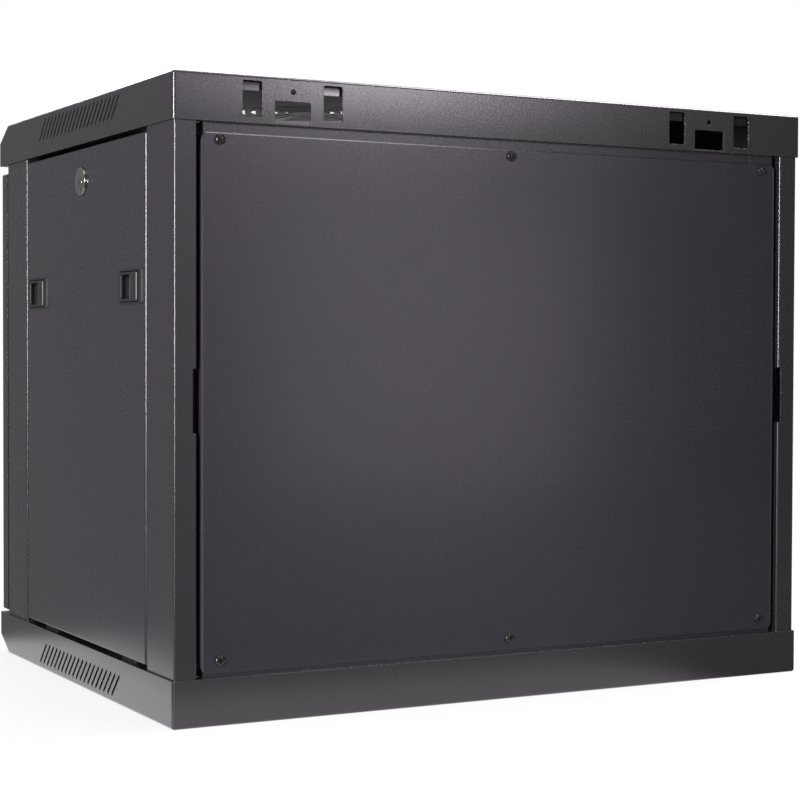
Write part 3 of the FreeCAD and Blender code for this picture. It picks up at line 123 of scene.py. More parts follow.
class Recipe:
    """A node tree under construction, for a material or for the world.

    The Mix node's sockets share their names between its kinds, so those for colours have numbers.
    """

    mix_colours: tuple[int, int] = (6, 7)
    mixed_colour: int = 2
    bevel_samples: int = 4
    edge_band: Pair = (0.01, 0.14)
    down_band: Pair = (0.5, 0.9)

    def __init__(self, tree: bpy.types.NodeTree) -> None:
        """Start from an empty tree.

        Args:
            tree: The node tree to fill.
        """
        self.tree = tree
        self.tree.nodes.clear()

    def node(self, kind: str, settings: Optional[Mapping] = None, inputs: Optional[Mapping] = None,
             output: Union[int, str] = 0) -> Socket:
        """Add one node.

        Args:
            kind: The node's type.
            settings: Properties set before its sockets, such as operation.
            inputs: Values or sockets by input name or number.
            output: Which output to hand back.

        Returns:
            The chosen output.
        """
        made = self.tree.nodes.new(kind)
        for name, value in (settings or {}).items():
            setattr(made, name, value)
        for name, value in (inputs or {}).items():
            if isinstance(value, Socket):
                self.tree.links.new(value.link, made.inputs[name])
            else:
                made.inputs[name].default_value = value
        return Socket(self, made.outputs[output] if len(made.outputs) else None)

    def vectors(self, operation: str, *values: Union[Socket, Place], output: Union[int, str] = 0) -> Socket:
        """A Vector Math node's result."""
        return self.node("ShaderNodeVectorMath", {"operation": operation}, dict(enumerate(values)), output)

    def part(self, vector: Socket, axis: str) -> Socket:
        """The X, Y or Z of a vector."""
        return self.node("ShaderNodeSeparateXYZ", None, {"Vector": vector}, axis)

    def place(self) -> Socket:
        """Object coordinates, in metres from the cabinet's origin."""
        return self.node("ShaderNodeTexCoord", output="Object")

    def height(self) -> Socket:
        """Height above the ground, in metres."""
        return self.part(self.place(), "Z")

    def off_middle(self) -> Socket:
        """Distance from the cabinet's middle plane, in metres."""
        return self.part(self.place(), "X").unsigned()

    def facing_down(self) -> Socket:
        """1 where the surface faces the ground, and 0 where it doesn't."""
        normal = self.node("ShaderNodeNewGeometry", output="Normal")
        return (self.part(normal, "Z") * -1.0).step(*self.down_band)

    def along(self, start: Place, heading: Place) -> Socket:
        """Distance from a point, measured along a heading."""
        way = self.vectors("SUBTRACT", self.place(), start)
        return self.vectors("DOT_PRODUCT", way, heading, output="Value")

    def stretched(self, scale: Place) -> Socket:
        """Object coordinates scaled along each axis."""
        return self.node("ShaderNodeMapping", None, {"Vector": self.place(), "Scale": scale})

    def noise(self, scale: float, detail: float = 2.0, vector: Optional[Socket] = None) -> Socket:
        """Soft noise between 0 and 1, with about this many features a metre."""
        inputs = {"Vector": vector or self.place(), "Scale": scale, "Detail": detail}
        return self.node("ShaderNodeTexNoise", None, inputs)

    def cells(self, scale: float) -> Socket:
        """Distance to the nearest of scattered points, about this many a metre."""
        return self.node("ShaderNodeTexVoronoi", None, {"Vector": self.place(), "Scale": scale})

    def blend(self, factor: Number, first: Union[Socket, Colour], second: Union[Socket, Colour]) -> Socket:
        """Colour between two others."""
        inputs = {0: factor}
        for number, value in zip(self.mix_colours, (first, second)):
            inputs[number] = value if isinstance(value, Socket) else (*value, 1.0)
        return self.node("ShaderNodeMix", {"data_type": "RGBA"}, inputs, self.mixed_colour)

    def rounded(self, radius: float) -> Socket:
        """Normal of the surface as if its edges were rounded."""
        return self.node("ShaderNodeBevel", {"samples": self.bevel_samples}, {"Radius": radius})

    def edges(self, rounded: Socket) -> Socket:
        """1 along edges, where the rounded normal leaves the flat one, and 0 on flat stretches."""
        flat = self.node("ShaderNodeNewGeometry", output="Normal")
        alike = self.vectors("DOT_PRODUCT", rounded, flat, output="Value")
        return (1.0 - alike).step(*self.edge_band)

    def bump(self, height: Socket, distance: float, normal: Optional[Socket] = None,
             strength: float = 1.0) -> Socket:
        """Normal of a surface raised by height times distance."""
        inputs = {"Height": height, "Distance": distance, "Strength": strength}
        if normal is not None:
            inputs["Normal"] = normal
        return self.node("ShaderNodeBump", None, inputs)

    def surface(self, inputs: Mapping) -> Socket:
        """Principled surface."""
        return self.node("ShaderNodeBsdfPrincipled", None, inputs)

    def output(self, shader: Socket, kind: str = "ShaderNodeOutputMaterial") -> None:
        """Connect the finished shader to the tree's output."""
        self.node(kind, None, {"Surface": shader})


def new_material(name: str) -> tuple[bpy.types.Material, Recipe]:
    """A material with an empty tree, and the recipe that fills it."""
    material = bpy.data.materials.new(name)
    material.use_nodes = True
    return material, Recipe(material.node_tree)


# ---------------------------------------------------------------- finishes

def scaled(colour: Colour, factor: float) -> Colour:
    """A colour made lighter or darker."""
    return tuple(part * factor for part in colour)


def grey(tone: float) -> Colour:
    """A colour of equal parts."""
    return (tone, tone, tone)


@dataclass(frozen=True)
class Look(ABC):
    """A material's recipe. Noise scales are features a metre, and lengths are metres."""

    name: str
    colour: Colour

    @abstractmethod
    def surface(self, mix: Recipe) -> Mapping:
        """What goes into the Principled surface.

        Args:
            mix: The material's node tree.

        Returns:
            Values or sockets by input name.
        """

    def make(self) -> bpy.types.Material:
        """Build the material."""
        material, mix = new_material(self.name)
        mix.output(mix.surface(self.surface(mix)))
        return material


@dataclass(frozen=True)
class PowderCoat(Look):
    """Baked powder paint on sheet steel: fine pebbled skin, thinner and shinier along the edges, where the
    paler colour is partly thin paint and partly a painted highlight.

    The optional fields are crown_start with crown, the height from which a sheet curves over its
    upper bend and how fast; inside_matt, the extra roughness of faces that look down; matt_from, the
    distance off the middle plane from which bare seats are matt; and rim_from, the height
    above which a cut edge carries a painted highlight line, fading in from rim_end.
    """

    edge_colour: Colour
    tint: Colour = (0.98, 0.89, 1.0)
    lighter: float = 1.35
    cloud_range: Pair = (0.35, 0.65)
    speck: float = 2.4
    speck_share: float = 0.25
    speck_band: Pair = (0.66, 0.74)
    edge_wear: Pair = (0.35, 0.75)
    roughness: float = 0.27
    roughness_spread: float = 0.06
    dust_roughness: float = 0.05
    edge_polish: float = 0.09
    pebbles: float = 1500.0
    pebble_height: float = 0.012 * MM
    pebble_strength: float = 0.6
    pebble_dust: float = 0.6
    dust_scale: float = 0.4
    waves: float = 5.0
    wave_height: float = 0.4 * MM
    mottle: float = 9.0
    edge_radius: float = 0.5 * MM
    coat: float = 0.3
    coat_roughness: float = 0.16
    crown_start: Optional[float] = None
    crown: float = 0.0
    inside_matt: float = 0.0
    matt_from: Optional[float] = None
    matt_width: float = 1.5 * MM
    matt_roughness: float = 0.45
    # Fields of a painted highlight line along a top cut edge.
    rim_from: Optional[float] = None
    rim_width: float = 0.1 * MM
    rim_colour: Colour = (0.20, 0.195, 0.205)
    rim_wear: Pair = (0.8, 1.0)
    rim_end: Place = (-0.06, 0.0, 0.0)
    rim_heading: Place = (1.0, 0.0, 0.0)
    rim_fade: float = 0.22

    def surface(self, mix: Recipe) -> Mapping:
        """Clouded, specked paint with pale edges of thin paint and painted highlight, under a clear coat,
        and an optional painted highlight line along a top edge.
        """
        rounded = mix.rounded(self.edge_radius)
        edge = mix.edges(rounded)
        dust = mix.noise(self.pebbles * self.dust_scale, 3.0)
        cloud = mix.noise(self.mottle, 3.0)
        shade = mix.blend(cloud.spread(*self.cloud_range), self.colour, scaled(self.colour, self.lighter))
        specks = dust.step(*self.speck_band) * self.speck_share
        colour = mix.blend(specks, shade, scaled(self.colour, self.speck))
        # Pale edges: thin paint, and also a painted highlight that stands in for the bends' reflections.
        colour = mix.blend(edge * dust.spread(*self.edge_wear), colour, self.edge_colour)
        # A painted highlight line: paler colour along the top cut edge, fading in along X.
        if self.rim_from is not None:
            rim = mix.height().step(self.rim_from, self.rim_from + self.rim_width)
            rim = rim * mix.along(self.rim_end, self.rim_heading).step(0.0, self.rim_fade)
            colour = mix.blend(rim * dust.spread(*self.rim_wear), colour, self.rim_colour)
        rough = self.roughness + (cloud - 0.5) * self.roughness_spread
        rough = rough + (dust - 0.5) * self.dust_roughness - edge * self.edge_polish
        coat: Number = self.coat
        if self.inside_matt:
            rough = rough + mix.facing_down() * self.inside_matt
        if self.matt_from is not None:
            ends = mix.off_middle().step(self.matt_from, self.matt_from + self.matt_width)
            rough = rough + ends * self.matt_roughness
            coat = (1.0 - ends) * self.coat
        wavy = mix.bump(mix.noise(self.waves, 1.0), self.wave_height, rounded)
        if self.crown_start is not None:
            climb = (mix.height() - self.crown_start).largest(0.0)
            wavy = mix.bump(climb ** 2.0 * -self.crown, 1.0, wavy)
        skin = mix.cells(self.pebbles) + dust * self.pebble_dust
        normal = mix.bump(skin, self.pebble_height, wavy, self.pebble_strength)
        return {"Base Color": colour, "Roughness": rough, "Normal": normal,
                "Specular Tint": (*self.tint, 1.0), "Coat Weight": coat,
                "Coat Roughness": self.coat_roughness}


@dataclass(frozen=True)
class PlatedMetal(Look):
    """Plated or turned metal: clouded tone, fine scratches and dulled hollows."""

    dull_colour: Colour
    roughness: float = 0.2
    scratches: float = 900.0
    scratch_height: float = 0.01 * MM
    scratch_band: Pair = (0.5, 0.8)
    clouding: float = 260.0
    dull_band: Pair = (0.42, 0.7)
    dull_share: float = 0.55
    edge_radius: float = 0.2 * MM
    metallic: float = 1.0
    grain: Place = (1.0, 0.12, 0.3)
    uneven: float = 0.12
    edge_polish: float = 0.04

    def surface(self, mix: Recipe) -> Mapping:
        """Dulled hollows, scratch lines and polished edges."""
        rounded = mix.rounded(self.edge_radius)
        edge = mix.edges(rounded)
        cloud = mix.noise(self.clouding, 4.0)
        lines = mix.noise(self.scratches, 2.0, mix.stretched(self.grain))
        worn = cloud.step(*self.dull_band) * self.dull_share * (1.0 - edge)
        colour = mix.blend(worn, self.colour, self.dull_colour)
        patchy = cloud + lines.step(*self.scratch_band)
        rough = self.roughness + patchy * self.uneven - edge * self.edge_polish
        normal = mix.bump(lines + cloud * 0.5, self.scratch_height, rounded)
        return {"Base Color": colour, "Metallic": self.metallic, "Roughness": rough, "Normal": normal}


@dataclass(frozen=True)
class MouldedPlastic(Look):
    """Spark-eroded moulding: fine matt grain, rubbed smooth along the edges."""

    roughness: float = 0.5
    grain: float = 2600.0
    grain_height: float = 0.03 * MM
    edge_radius: float = 0.35 * MM
    edge_share: float = 0.5
    grain_share: float = 0.15
    lighter: float = 2.0
    smears: float = 60.0
    smear_roughness: float = 0.18
    edge_polish: float = 0.12

    def surface(self, mix: Recipe) -> Mapping:
        """Fine grain, pale edges and smears."""
        rounded = mix.rounded(self.edge_radius)
        edge = mix.edges(rounded)
        grain = mix.noise(self.grain, 3.0)
        smear = mix.noise(self.smears, 2.0)
        pale = edge * self.edge_share + grain * self.grain_share
        colour = mix.blend(pale, self.colour, scaled(self.colour, self.lighter))
        rough = self.roughness + (smear - 0.5) * self.smear_roughness - edge * self.edge_polish
        normal = mix.bump(grain, self.grain_height, rounded)
        return {"Base Color": colour, "Roughness": rough, "Normal": normal}


@dataclass(frozen=True)
class TintedGlass(Look):
    """Toughened tinted glass with faint roller waves and wiping marks."""

    ior: float = 1.5
    polish: float = 0.008
    wipes: float = 30.0
    wipe_stretch: Place = (1.0, 1.0, 0.25)
    wipe_band: Pair = (0.5, 0.85)
    wipe_share: float = 0.12
    darker: float = 0.9
    smudge: float = 0.045
    roller_waves: float = 7.0
    wave_height: float = 0.05 * MM

    def surface(self, mix: Recipe) -> Mapping:
        """Clear tinted glass with wiping marks and slow waves."""
        wipe = mix.noise(self.wipes, 3.0, mix.stretched(self.wipe_stretch))
        rough = self.polish + wipe.step(*self.wipe_band) * self.smudge
        colour = mix.blend(wipe * self.wipe_share, self.colour, scaled(self.colour, self.darker))
        normal = mix.bump(mix.noise(self.roller_waves, 1.0), self.wave_height)
        return {"Base Color": colour, "Roughness": rough, "Normal": normal, "Transmission Weight": 1.0,
                "IOR": self.ior}


@dataclass(frozen=True)
class Rubber(Look):
    """Rubber with a dusty bloom and fine grit."""

    roughness: float = 0.62
    blooms: float = 45.0
    bloom_share: float = 0.4
    bloom_roughness: float = 0.2
    lighter: float = 2.6
    grit: float = 1800.0
    grit_height: float = 0.04 * MM
    edge_radius: float = 0.3 * MM

    def surface(self, mix: Recipe) -> Mapping:
        """Dusty bloom over fine grit."""
        bloom = mix.noise(self.blooms, 4.0)
        colour = mix.blend(bloom * self.bloom_share, self.colour, scaled(self.colour, self.lighter))
        normal = mix.bump(mix.noise(self.grit, 2.0), self.grit_height, mix.rounded(self.edge_radius))
        rough = self.roughness + bloom * self.bloom_roughness
        return {"Base Color": colour, "Roughness": rough, "Normal": normal}


@dataclass(frozen=True)
class MattSurface(Look):
    """Matt board or floor with a faint mottle of a second colour."""

    second: Colour
    mottle: float
    share: float
    roughness: float
    shine: float

    def surface(self, mix: Recipe) -> Mapping:
        """Mottled colour with hardly any gloss."""
        tone = mix.blend(mix.noise(self.mottle) * self.share, self.colour, self.second)
        return {"Base Color": tone, "Roughness": self.roughness, "Specular IOR Level": self.shine}


PANEL_BLACK: Colour = (0.0106, 0.0088, 0.0124)
FRAME_BLACK: Colour = (0.0100, 0.0093, 0.0106)
# Edge colour: thin paint on the edges, and also a painted highlight along the bends.
EDGE_WEAR_AND_HIGHLIGHT_GREY: Colour = (0.12, 0.115, 0.13)


class Finish(Enum):
    """The cabinet's finishes."""

    PANEL_PAINT = PowderCoat("panel_powder_coat", PANEL_BLACK, EDGE_WEAR_AND_HIGHLIGHT_GREY)
    # The rear panel carries a painted highlight line along its top edge.
    REAR_PAINT = PowderCoat("rear_panel_powder_coat", PANEL_BLACK, EDGE_WEAR_AND_HIGHLIGHT_GREY, edge_radius=0.2 * MM,
                            matt_from=0.2725, rim_from=0.4541)
    FRAME_PAINT = PowderCoat("frame_powder_coat", FRAME_BLACK, EDGE_WEAR_AND_HIGHLIGHT_GREY, edge_radius=0.42 * MM)
    ROOF_PAINT = PowderCoat("roof_powder_coat", FRAME_BLACK, (0.06, 0.058, 0.064), crown_start=0.466,
                            crown=0.9, inside_matt=0.12)
    # The hanger is painted darker than the frame: painted shade for its shadowed foot and underside.
    HANGER_PAINT = PowderCoat("hanger_powder_coat", grey(0.004), grey(0.05), roughness=0.2, coat=0.0,
                              crown_start=0.4825, crown=7.0)
    RAIL_PAINT = PowderCoat("rail_powder_coat", grey(0.010), grey(0.08), pebbles=2200.0)
    CHROME = PlatedMetal("lock_chrome", (0.52, 0.50, 0.48), (0.22, 0.20, 0.17), roughness=0.04)
    ZINC = PlatedMetal("zinc_plating", (0.62, 0.62, 0.60), (0.40, 0.41, 0.42), roughness=0.30)
    STEEL = PlatedMetal("turned_steel", (0.56, 0.55, 0.54), (0.36, 0.35, 0.34), roughness=0.22)
    BLACK_SCREW = PlatedMetal("black_screw", grey(0.012), grey(0.006), roughness=0.16, metallic=0.3)
    LATCH = MouldedPlastic("latch_plastic", (0.010, 0.010, 0.0105), roughness=0.36)
    BUSH = MouldedPlastic("bush_nylon", grey(0.06), roughness=0.38)
    GLASS = TintedGlass("tinted_glass", (0.70, 0.72, 0.74))
    SEAL = Rubber("seal_rubber", grey(0.014))


class Finishes:
    """Every finish's material, each built once."""

    def __init__(self) -> None:
        """Build all of them."""
        self._made = {finish: finish.value.make() for finish in Finish}

    def of(self, finish: Finish) -> bpy.types.Material:
        """The material of one finish."""
        return self._made[finish]

    def dress(self, node: str, finish: Finish) -> None:
        """Give a carried-over node its finish.

        Args:
            node: The node's name.
            finish: Its finish.
        """
        thing = frame["nodes"][node]
        if not thing.material_slots:
            thing.data.materials.append(self.of(finish))
        for slot in thing.material_slots:
            slot.material = self.of(finish)


# ---------------------------------------------------------------- surfaces

@dataclass(frozen=True)
class Stand:
    """Where a small piece stands, in metres, and which way its own Z points."""

    middle: Sequence[float]
    out: Sequence[float]

    def world(self, points: np.ndarray) -> np.ndarray:
        """Middle + x across + y up + z out, for an array of the piece's own points in millimetres.

        Up is +Z, or +Y where out is upright, and across is the cross product of up and out.
        """
        up = (0.0, 1.0, 0.0) if abs(self.out[2]) > 0.5 else (0.0, 0.0, 1.0)
        return np.asarray(self.middle) + points * MM @ np.array([np.cross(up, self.out), up, self.out])


@dataclass(frozen=True)
class Loop:
    """Closed outline with rounded corners, which is a circle where its corners fill it. Millimetres."""

    half_x: float
    half_y: float
    corner: float
    middle: Pair = (0.0, 0.0)
    steps: int = 12

    def ring(self, inset: float, height: float) -> np.ndarray:
        """Points of the outline moved inwards.

        The four corner arcs follow each other: corner centre + radius (cos a, sin a), with a going
        round once. The straight sides are the chords between them.

        Args:
            inset: How far inwards the outline is moved.
            height: The ring's height.

        Returns:
            An array of points, shaped (4 x steps, 3).
        """
        radius = max(self.corner - inset, 0.0)
        quarter = np.linspace(0.0, math.pi / 2, self.steps)
        angle = (np.arange(4)[:, None] * math.pi / 2 + quarter).ravel()
        side = np.repeat([[1, 1], [-1, 1], [-1, -1], [1, -1]], self.steps, axis=0)
        reach = np.array([self.half_x, self.half_y]) - max(self.corner, inset)
        flat = self.middle + side * reach + radius * np.stack([np.cos(angle), np.sin(angle)], axis=-1)
        return np.column_stack([flat, np.full(len(flat), height)])

    def rolled(self, radius: float, centre: float, start: float, end: float,
               steps: int = 6) -> list[np.ndarray]:
        """Rings round a rolled edge, turning from start to end degrees about a centre at this height.

        A radius below zero rolls the edge outwards, as round a hole.
        """
        return [self.ring(radius - radius * math.cos(a), centre + abs(radius) * math.sin(a))
                for a in arc(start, end, steps)]

    def point(self, height: float) -> np.ndarray:
        """The outline shrunk to its middle, which closes a surface."""
        return np.tile([*self.middle, height], (4 * self.steps, 1))


@dataclass(frozen=True)
class Round:
    """Sections of turned pieces, as distances from the middle at each of many angles."""

    sides: int

    def angles(self) -> np.ndarray:
        """Angles once round, without the last."""
        return np.linspace(0.0, 2 * math.pi, self.sides, endpoint=False)

    def spots(self, radius: np.ndarray) -> tuple[np.ndarray, np.ndarray]:
        """X and Y of circles of points, one circle a row."""
        angle = self.angles()
        return radius * np.cos(angle), radius * np.sin(angle)

    def turned(self, radius: Sequence, height: Sequence) -> np.ndarray:
        """Grid of a turned surface: (radius cos a, radius sin a, height) at each row and angle a."""
        radius, height = (np.broadcast_to(np.reshape(rows, (len(rows), -1)), (len(rows), self.sides))
                          for rows in (radius, height))
        return np.stack([*self.spots(radius), height], axis=-1)

    def square(self, half: float) -> np.ndarray:
        """Distance from the middle to the side of a square: half / max(|cos a|, |sin a|)."""
        angle = self.angles()
        return half / np.maximum(np.abs(np.cos(angle)), np.abs(np.sin(angle)))

    def hexagon(self, half: float) -> np.ndarray:
        """Distance to the side of a hexagon: half / cos of the angle off the middle of that side."""
        third = math.pi / 3
        return half / np.cos(self.angles() % third - third / 2)

    def flats(self, radius: float, half: float) -> np.ndarray:
        """A circle cut by two parallel flats: the smaller of radius and half / |cos a|."""
        return np.minimum(radius, half / np.maximum(np.abs(np.cos(self.angles())), 1e-6))

    def thread(self, height: np.ndarray, pitch: float, depth: float) -> np.ndarray:
        """Depth of a screw thread: a triangle wave of height / pitch - a / one turn, at every angle a."""
        phase = (height[:, None] / pitch - self.angles() / (2 * math.pi)) % 1.0
        return depth * np.abs(2 * phase - 1)


def arc(start: float, end: float, steps: int = 6) -> np.ndarray:
    """Angles in radians from start to end degrees."""
    return np.radians(np.linspace(start, end, steps))


def dome(radius: np.ndarray, across: float, rise: float, fullness: float) -> np.ndarray:
    """Height of a domed head: rise times (1 - (radius / across) to the power fullness), square rooted."""
    return rise * np.sqrt(np.clip(1.0 - (radius / across) ** fullness, 0.0, 1.0))


def slope_down(distance: np.ndarray, edge: float, taper: float) -> np.ndarray:
    """1 inside an edge, falling straight to 0 over the taper before it."""
    return np.clip((edge - distance) / taper, 0.0, 1.0)


def cross_recess(x: np.ndarray, y: np.ndarray, arm: float, blade: float, wall: float = 0.45,
                 end: float = 0.4) -> np.ndarray:
    """Depth, 0 to 1, of a cross recess: deepest along both axes, with sloped walls and arm ends."""
    near, far = np.minimum(np.abs(x), np.abs(y)), np.maximum(np.abs(x), np.abs(y))
    return slope_down(near, blade, blade * wall) * slope_down(far, arm, arm * end)


def hexagon_recess(x: np.ndarray, y: np.ndarray, half: float, wall: float = 0.12) -> np.ndarray:
    """Depth, 0 to 1, of a hexagon socket: the farthest of three directions, against its half width."""
    far = np.max([np.abs(x * math.cos(turn) + y * math.sin(turn)) for turn in arc(0.0, 120.0, 3)], axis=0)
    return slope_down(far, half, half * wall)


def slot_recess(x: np.ndarray, y: np.ndarray, half_width: float, half_length: float,
                wall: float = 0.25, end: float = 0.4) -> np.ndarray:
    """Depth, 0 to 1, of a key slot with sloped walls and ends."""
    return slope_down(np.abs(x), half_width, wall) * slope_down(np.abs(y), half_length, end)


class Skin:
    """One piece's surface, gathered from grids of points.

    Points nearer than together become one, and edges sharper than crease stay sharp.
    """

    together: float = 0.0005 * MM
    crease: float = math.radians(38.0)

    def __init__(self) -> None:
        """Start with nothing."""
        self._points: list[np.ndarray] = []
        self._faces: list[np.ndarray] = []
        self._count = 0

    def grid(self, points: np.ndarray, loop: bool = False) -> None:
        """Add a grid that closes round its rows.

        Args:
            points: Places, shaped (rows, columns, 3). The last column joins the first.
            loop: True where the last row joins the first too, as on a ring.
        """
        rows, columns = points.shape[:2]
        row = np.arange(rows if loop else rows - 1)[:, None]
        column = np.arange(columns)
        beside = (column + 1) % columns
        this, following = row * columns, (row + 1) % rows * columns
        quads = np.stack([this + column, this + beside, following + beside, following + column], axis=-1)
        self._faces.append(quads.reshape(-1, 4) + self._count)
        self._points.append(points.reshape(-1, 3))
        self._count += rows * columns

    def make(self, name: str, material: bpy.types.Material) -> bpy.types.Object:
        """Turn the surface into an object.

        Args:
            name: The object's name.
            material: Its material.

        Returns:
            The object, at the origin, with its place in its mesh.
        """
        mesh = bpy.data.meshes.new(name)
        mesh.from_pydata(np.concatenate(self._points), [], np.concatenate(self._faces))
        work = bmesh.new()
        work.from_mesh(mesh)
        bmesh.ops.remove_doubles(work, verts=work.verts, dist=self.together)
        bmesh.ops.dissolve_degenerate(work, edges=work.edges, dist=self.together)
        bmesh.ops.recalc_face_normals(work, faces=work.faces)
        work.to_mesh(mesh)
        work.free()
        mesh.shade_smooth()
        mesh.set_sharp_from_angle(angle=self.crease)
        mesh.materials.append(material)
        thing = bpy.data.objects.new(name, mesh)
        bpy.context.scene.collection.objects.link(thing)
        return thing


def stand_in(node: str, name: str, surfaces: Sequence[np.ndarray], stands: Sequence[Stand],
             material: bpy.types.Material, loop: bool = False) -> str:
    """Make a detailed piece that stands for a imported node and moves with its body.

    Args:
        node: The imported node.
        name: The piece's name.
        surfaces: Grids of its own points, in millimetres.
        stands: Every place that has one.
        material: Its material.
        loop: True where each grid's last row joins its first.

    Returns:
        The piece's name.
    """
    skin = Skin()
    for stand in stands:
        for surface in surfaces:
            skin.grid(stand.world(surface), loop)
    piece = skin.make(name, material)
    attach(piece, body_of(node))
    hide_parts(node)
    return name


def body_of(node: str) -> str:
    """The record's body that carries a node."""
    bodies = frame["record"]["behaviour"]["bodies"]
    return next(body for body, nodes in bodies.items() if node in nodes)


def solid_boxes(node: str) -> list[tuple[np.ndarray, np.ndarray]]:
    """Boxes of a node's separate solids.

    Points at one place are made one, then each point takes the lowest number among its neighbours'
    until nothing changes, so that every solid ends with one number.

    Args:
        node: The node's name.

    Returns:
        Each solid's lowest and highest corner, in metres.
    """
    mesh = frame["nodes"][node].data
    places = np.empty(len(mesh.vertices) * 3, np.float32)
    mesh.vertices.foreach_get("co", places)
    ends = np.empty(len(mesh.edges) * 2, np.int32)
    mesh.edges.foreach_get("vertices", ends)
    spots, kind = np.unique(np.round(places.reshape(-1, 3), 6), axis=0, return_inverse=True)
    first, second = kind.reshape(-1)[ends].reshape(-1, 2).T
    label = np.arange(len(spots))
    settled = False
    while not settled:
        lowest = np.minimum(label[first], label[second])
        spread = label.copy()
        np.minimum.at(spread, first, lowest)
        np.minimum.at(spread, second, lowest)
        settled = bool((spread == label).all())
        label = spread
    groups = (spots[label == which] for which in np.unique(label))
    return [(group.min(axis=0), group.max(axis=0)) for group in groups]


def seats(node: str, out: Place, rise: float) -> list[Stand]:
    """Places of a node's fasteners, each at its seat.

    Args:
        node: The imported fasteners.
        out: Where they point on the cabinet's right side. On its left, X is turned over.
        rise: Seat to outer end, in millimetres.

    Returns:
        A place for each.
    """
    stands = []
    for low, high in solid_boxes(node):
        middle = (low + high) / 2
        way = np.array(out) * (math.copysign(1.0, middle[0]), 1.0, 1.0)
        stands.append(Stand(middle + way * ((high - low) / 2 - rise * MM), way))
    return stands


def on_face(panel: str, node: str, out: Place) -> Stand:
    """Place of a node in a panel's outer face.

    Args:
        panel: The panel's node.
        node: The node that is mounted in it.
        out: Where the panel faces.

    Returns:
        The node's middle, moved along out onto the panel's face.
    """
    way = np.array(out)
    low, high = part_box(panel)
    face = high if way.sum() > 0.0 else low
    return Stand(np.where(way == 0.0, np.mean(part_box(node), axis=0), face), way)


# ---------------------------------------------------------------- small pieces, in millimetres

@dataclass(frozen=True)
class Screw:
    """Screw with a domed head, a recess and a rolled thread. Its head's seat is at height 0.

    The fields from tip to blade are shares: tip of the shank's radius, seat, rim and sunk of the head's
    rise, rim_foot of the seat, rim_bulge and rim_top of the rim, arm and blade of the head's radius.
    """

    head: float
    rise: float
    shank: float
    length: float
    pitch: float = 0.8
    thread: float = 0.28
    socket: float = 0.0
    relief: float = 0.05
    taper_turns: float = 1.2
    bevel: float = 0.15
    rim_sweep: float = 75.0
    fullness: float = 2.3
    tip: float = 0.72
    seat: float = 0.30
    rim: float = 0.16
    sunk: float = 0.62
    rim_foot: float = 0.6
    rim_bulge: float = 0.3
    rim_top: float = 0.7
    arm: float = 0.56
    blade: float = 0.13
    turn_rows: int = 7
    head_rows: int = 44

    def surface(self) -> np.ndarray:
        """Grid of the whole screw, from the tip's middle up the thread and over the head to its middle.

        Shank: radius less the thread's depth. Head: domed height less the recess's depth.
        """
        form = Round(sides=72)
        climb = np.linspace(-self.length, -self.relief, int(self.length / self.pitch * self.turn_rows))
        taper = np.clip((climb + self.length) / (self.pitch * self.taper_turns), 0.0, 1.0)[:, None]
        screwed = self.shank - form.thread(climb, self.pitch, self.thread)
        edge = arc(0.0, self.rim_sweep)
        rim, low = self.rise * self.rim, self.rise * self.seat
        bulge, foot = rim * self.rim_bulge, low * self.rim_foot
        across = np.linspace(1.0, 0.0, self.head_rows)[:, None] * (self.head - rim * self.rim_top)
        x, y = form.spots(across)
        if self.socket:
            recess = hexagon_recess(x, y, self.socket)
        else:
            recess = cross_recess(x, y, self.head * self.arm, self.head * self.blade)
        top = low + dome(across, self.head, self.rise - low, self.fullness)
        return np.concatenate([
            form.turned([0.0], [-self.length]),
            form.turned(screwed * (self.tip + (1.0 - self.tip) * taper), climb),
            form.turned([self.shank, self.head - self.bevel, self.head], [0.0, 0.0, self.bevel]),
            form.turned(self.head - bulge * (1 - np.cos(edge)), foot + rim * np.sin(edge)),
            form.turned(across, top - recess * self.rise * self.sunk),
        ])


@dataclass(frozen=True)
class HexagonNut:
    """Nut with chamfered corners and a threaded bore. It lies between height 0 and its height."""

    half_flats: float
    height: float
    bore: float
    chamfer: float = 0.7
    countersink: float = 0.35
    lead: float = 0.2
    corner: float = 1.02
    pitch: float = 0.8
    thread: float = 0.22
    bore_rows: int = 14

    def surface(self) -> np.ndarray:
        """Grid that closes on itself: up the bore, out over the top, down the flats and back below."""
        form = Round(sides=72)
        inside = np.linspace(self.lead, self.height - self.lead, self.bore_rows)
        mouth = [self.bore + self.countersink]
        outer = form.hexagon(self.half_flats)[None, :]
        crown = np.minimum(outer, self.half_flats * self.corner)
        return np.concatenate([
            form.turned(mouth, [0.0]),
            form.turned(self.bore + form.thread(inside, self.pitch, self.thread), inside),
            form.turned(mouth, [self.height]),
            form.turned(crown, [self.height]),
            form.turned(outer, [self.height - self.chamfer]),
            form.turned(outer, [self.chamfer]),
            form.turned(crown, [0.0]),
        ])


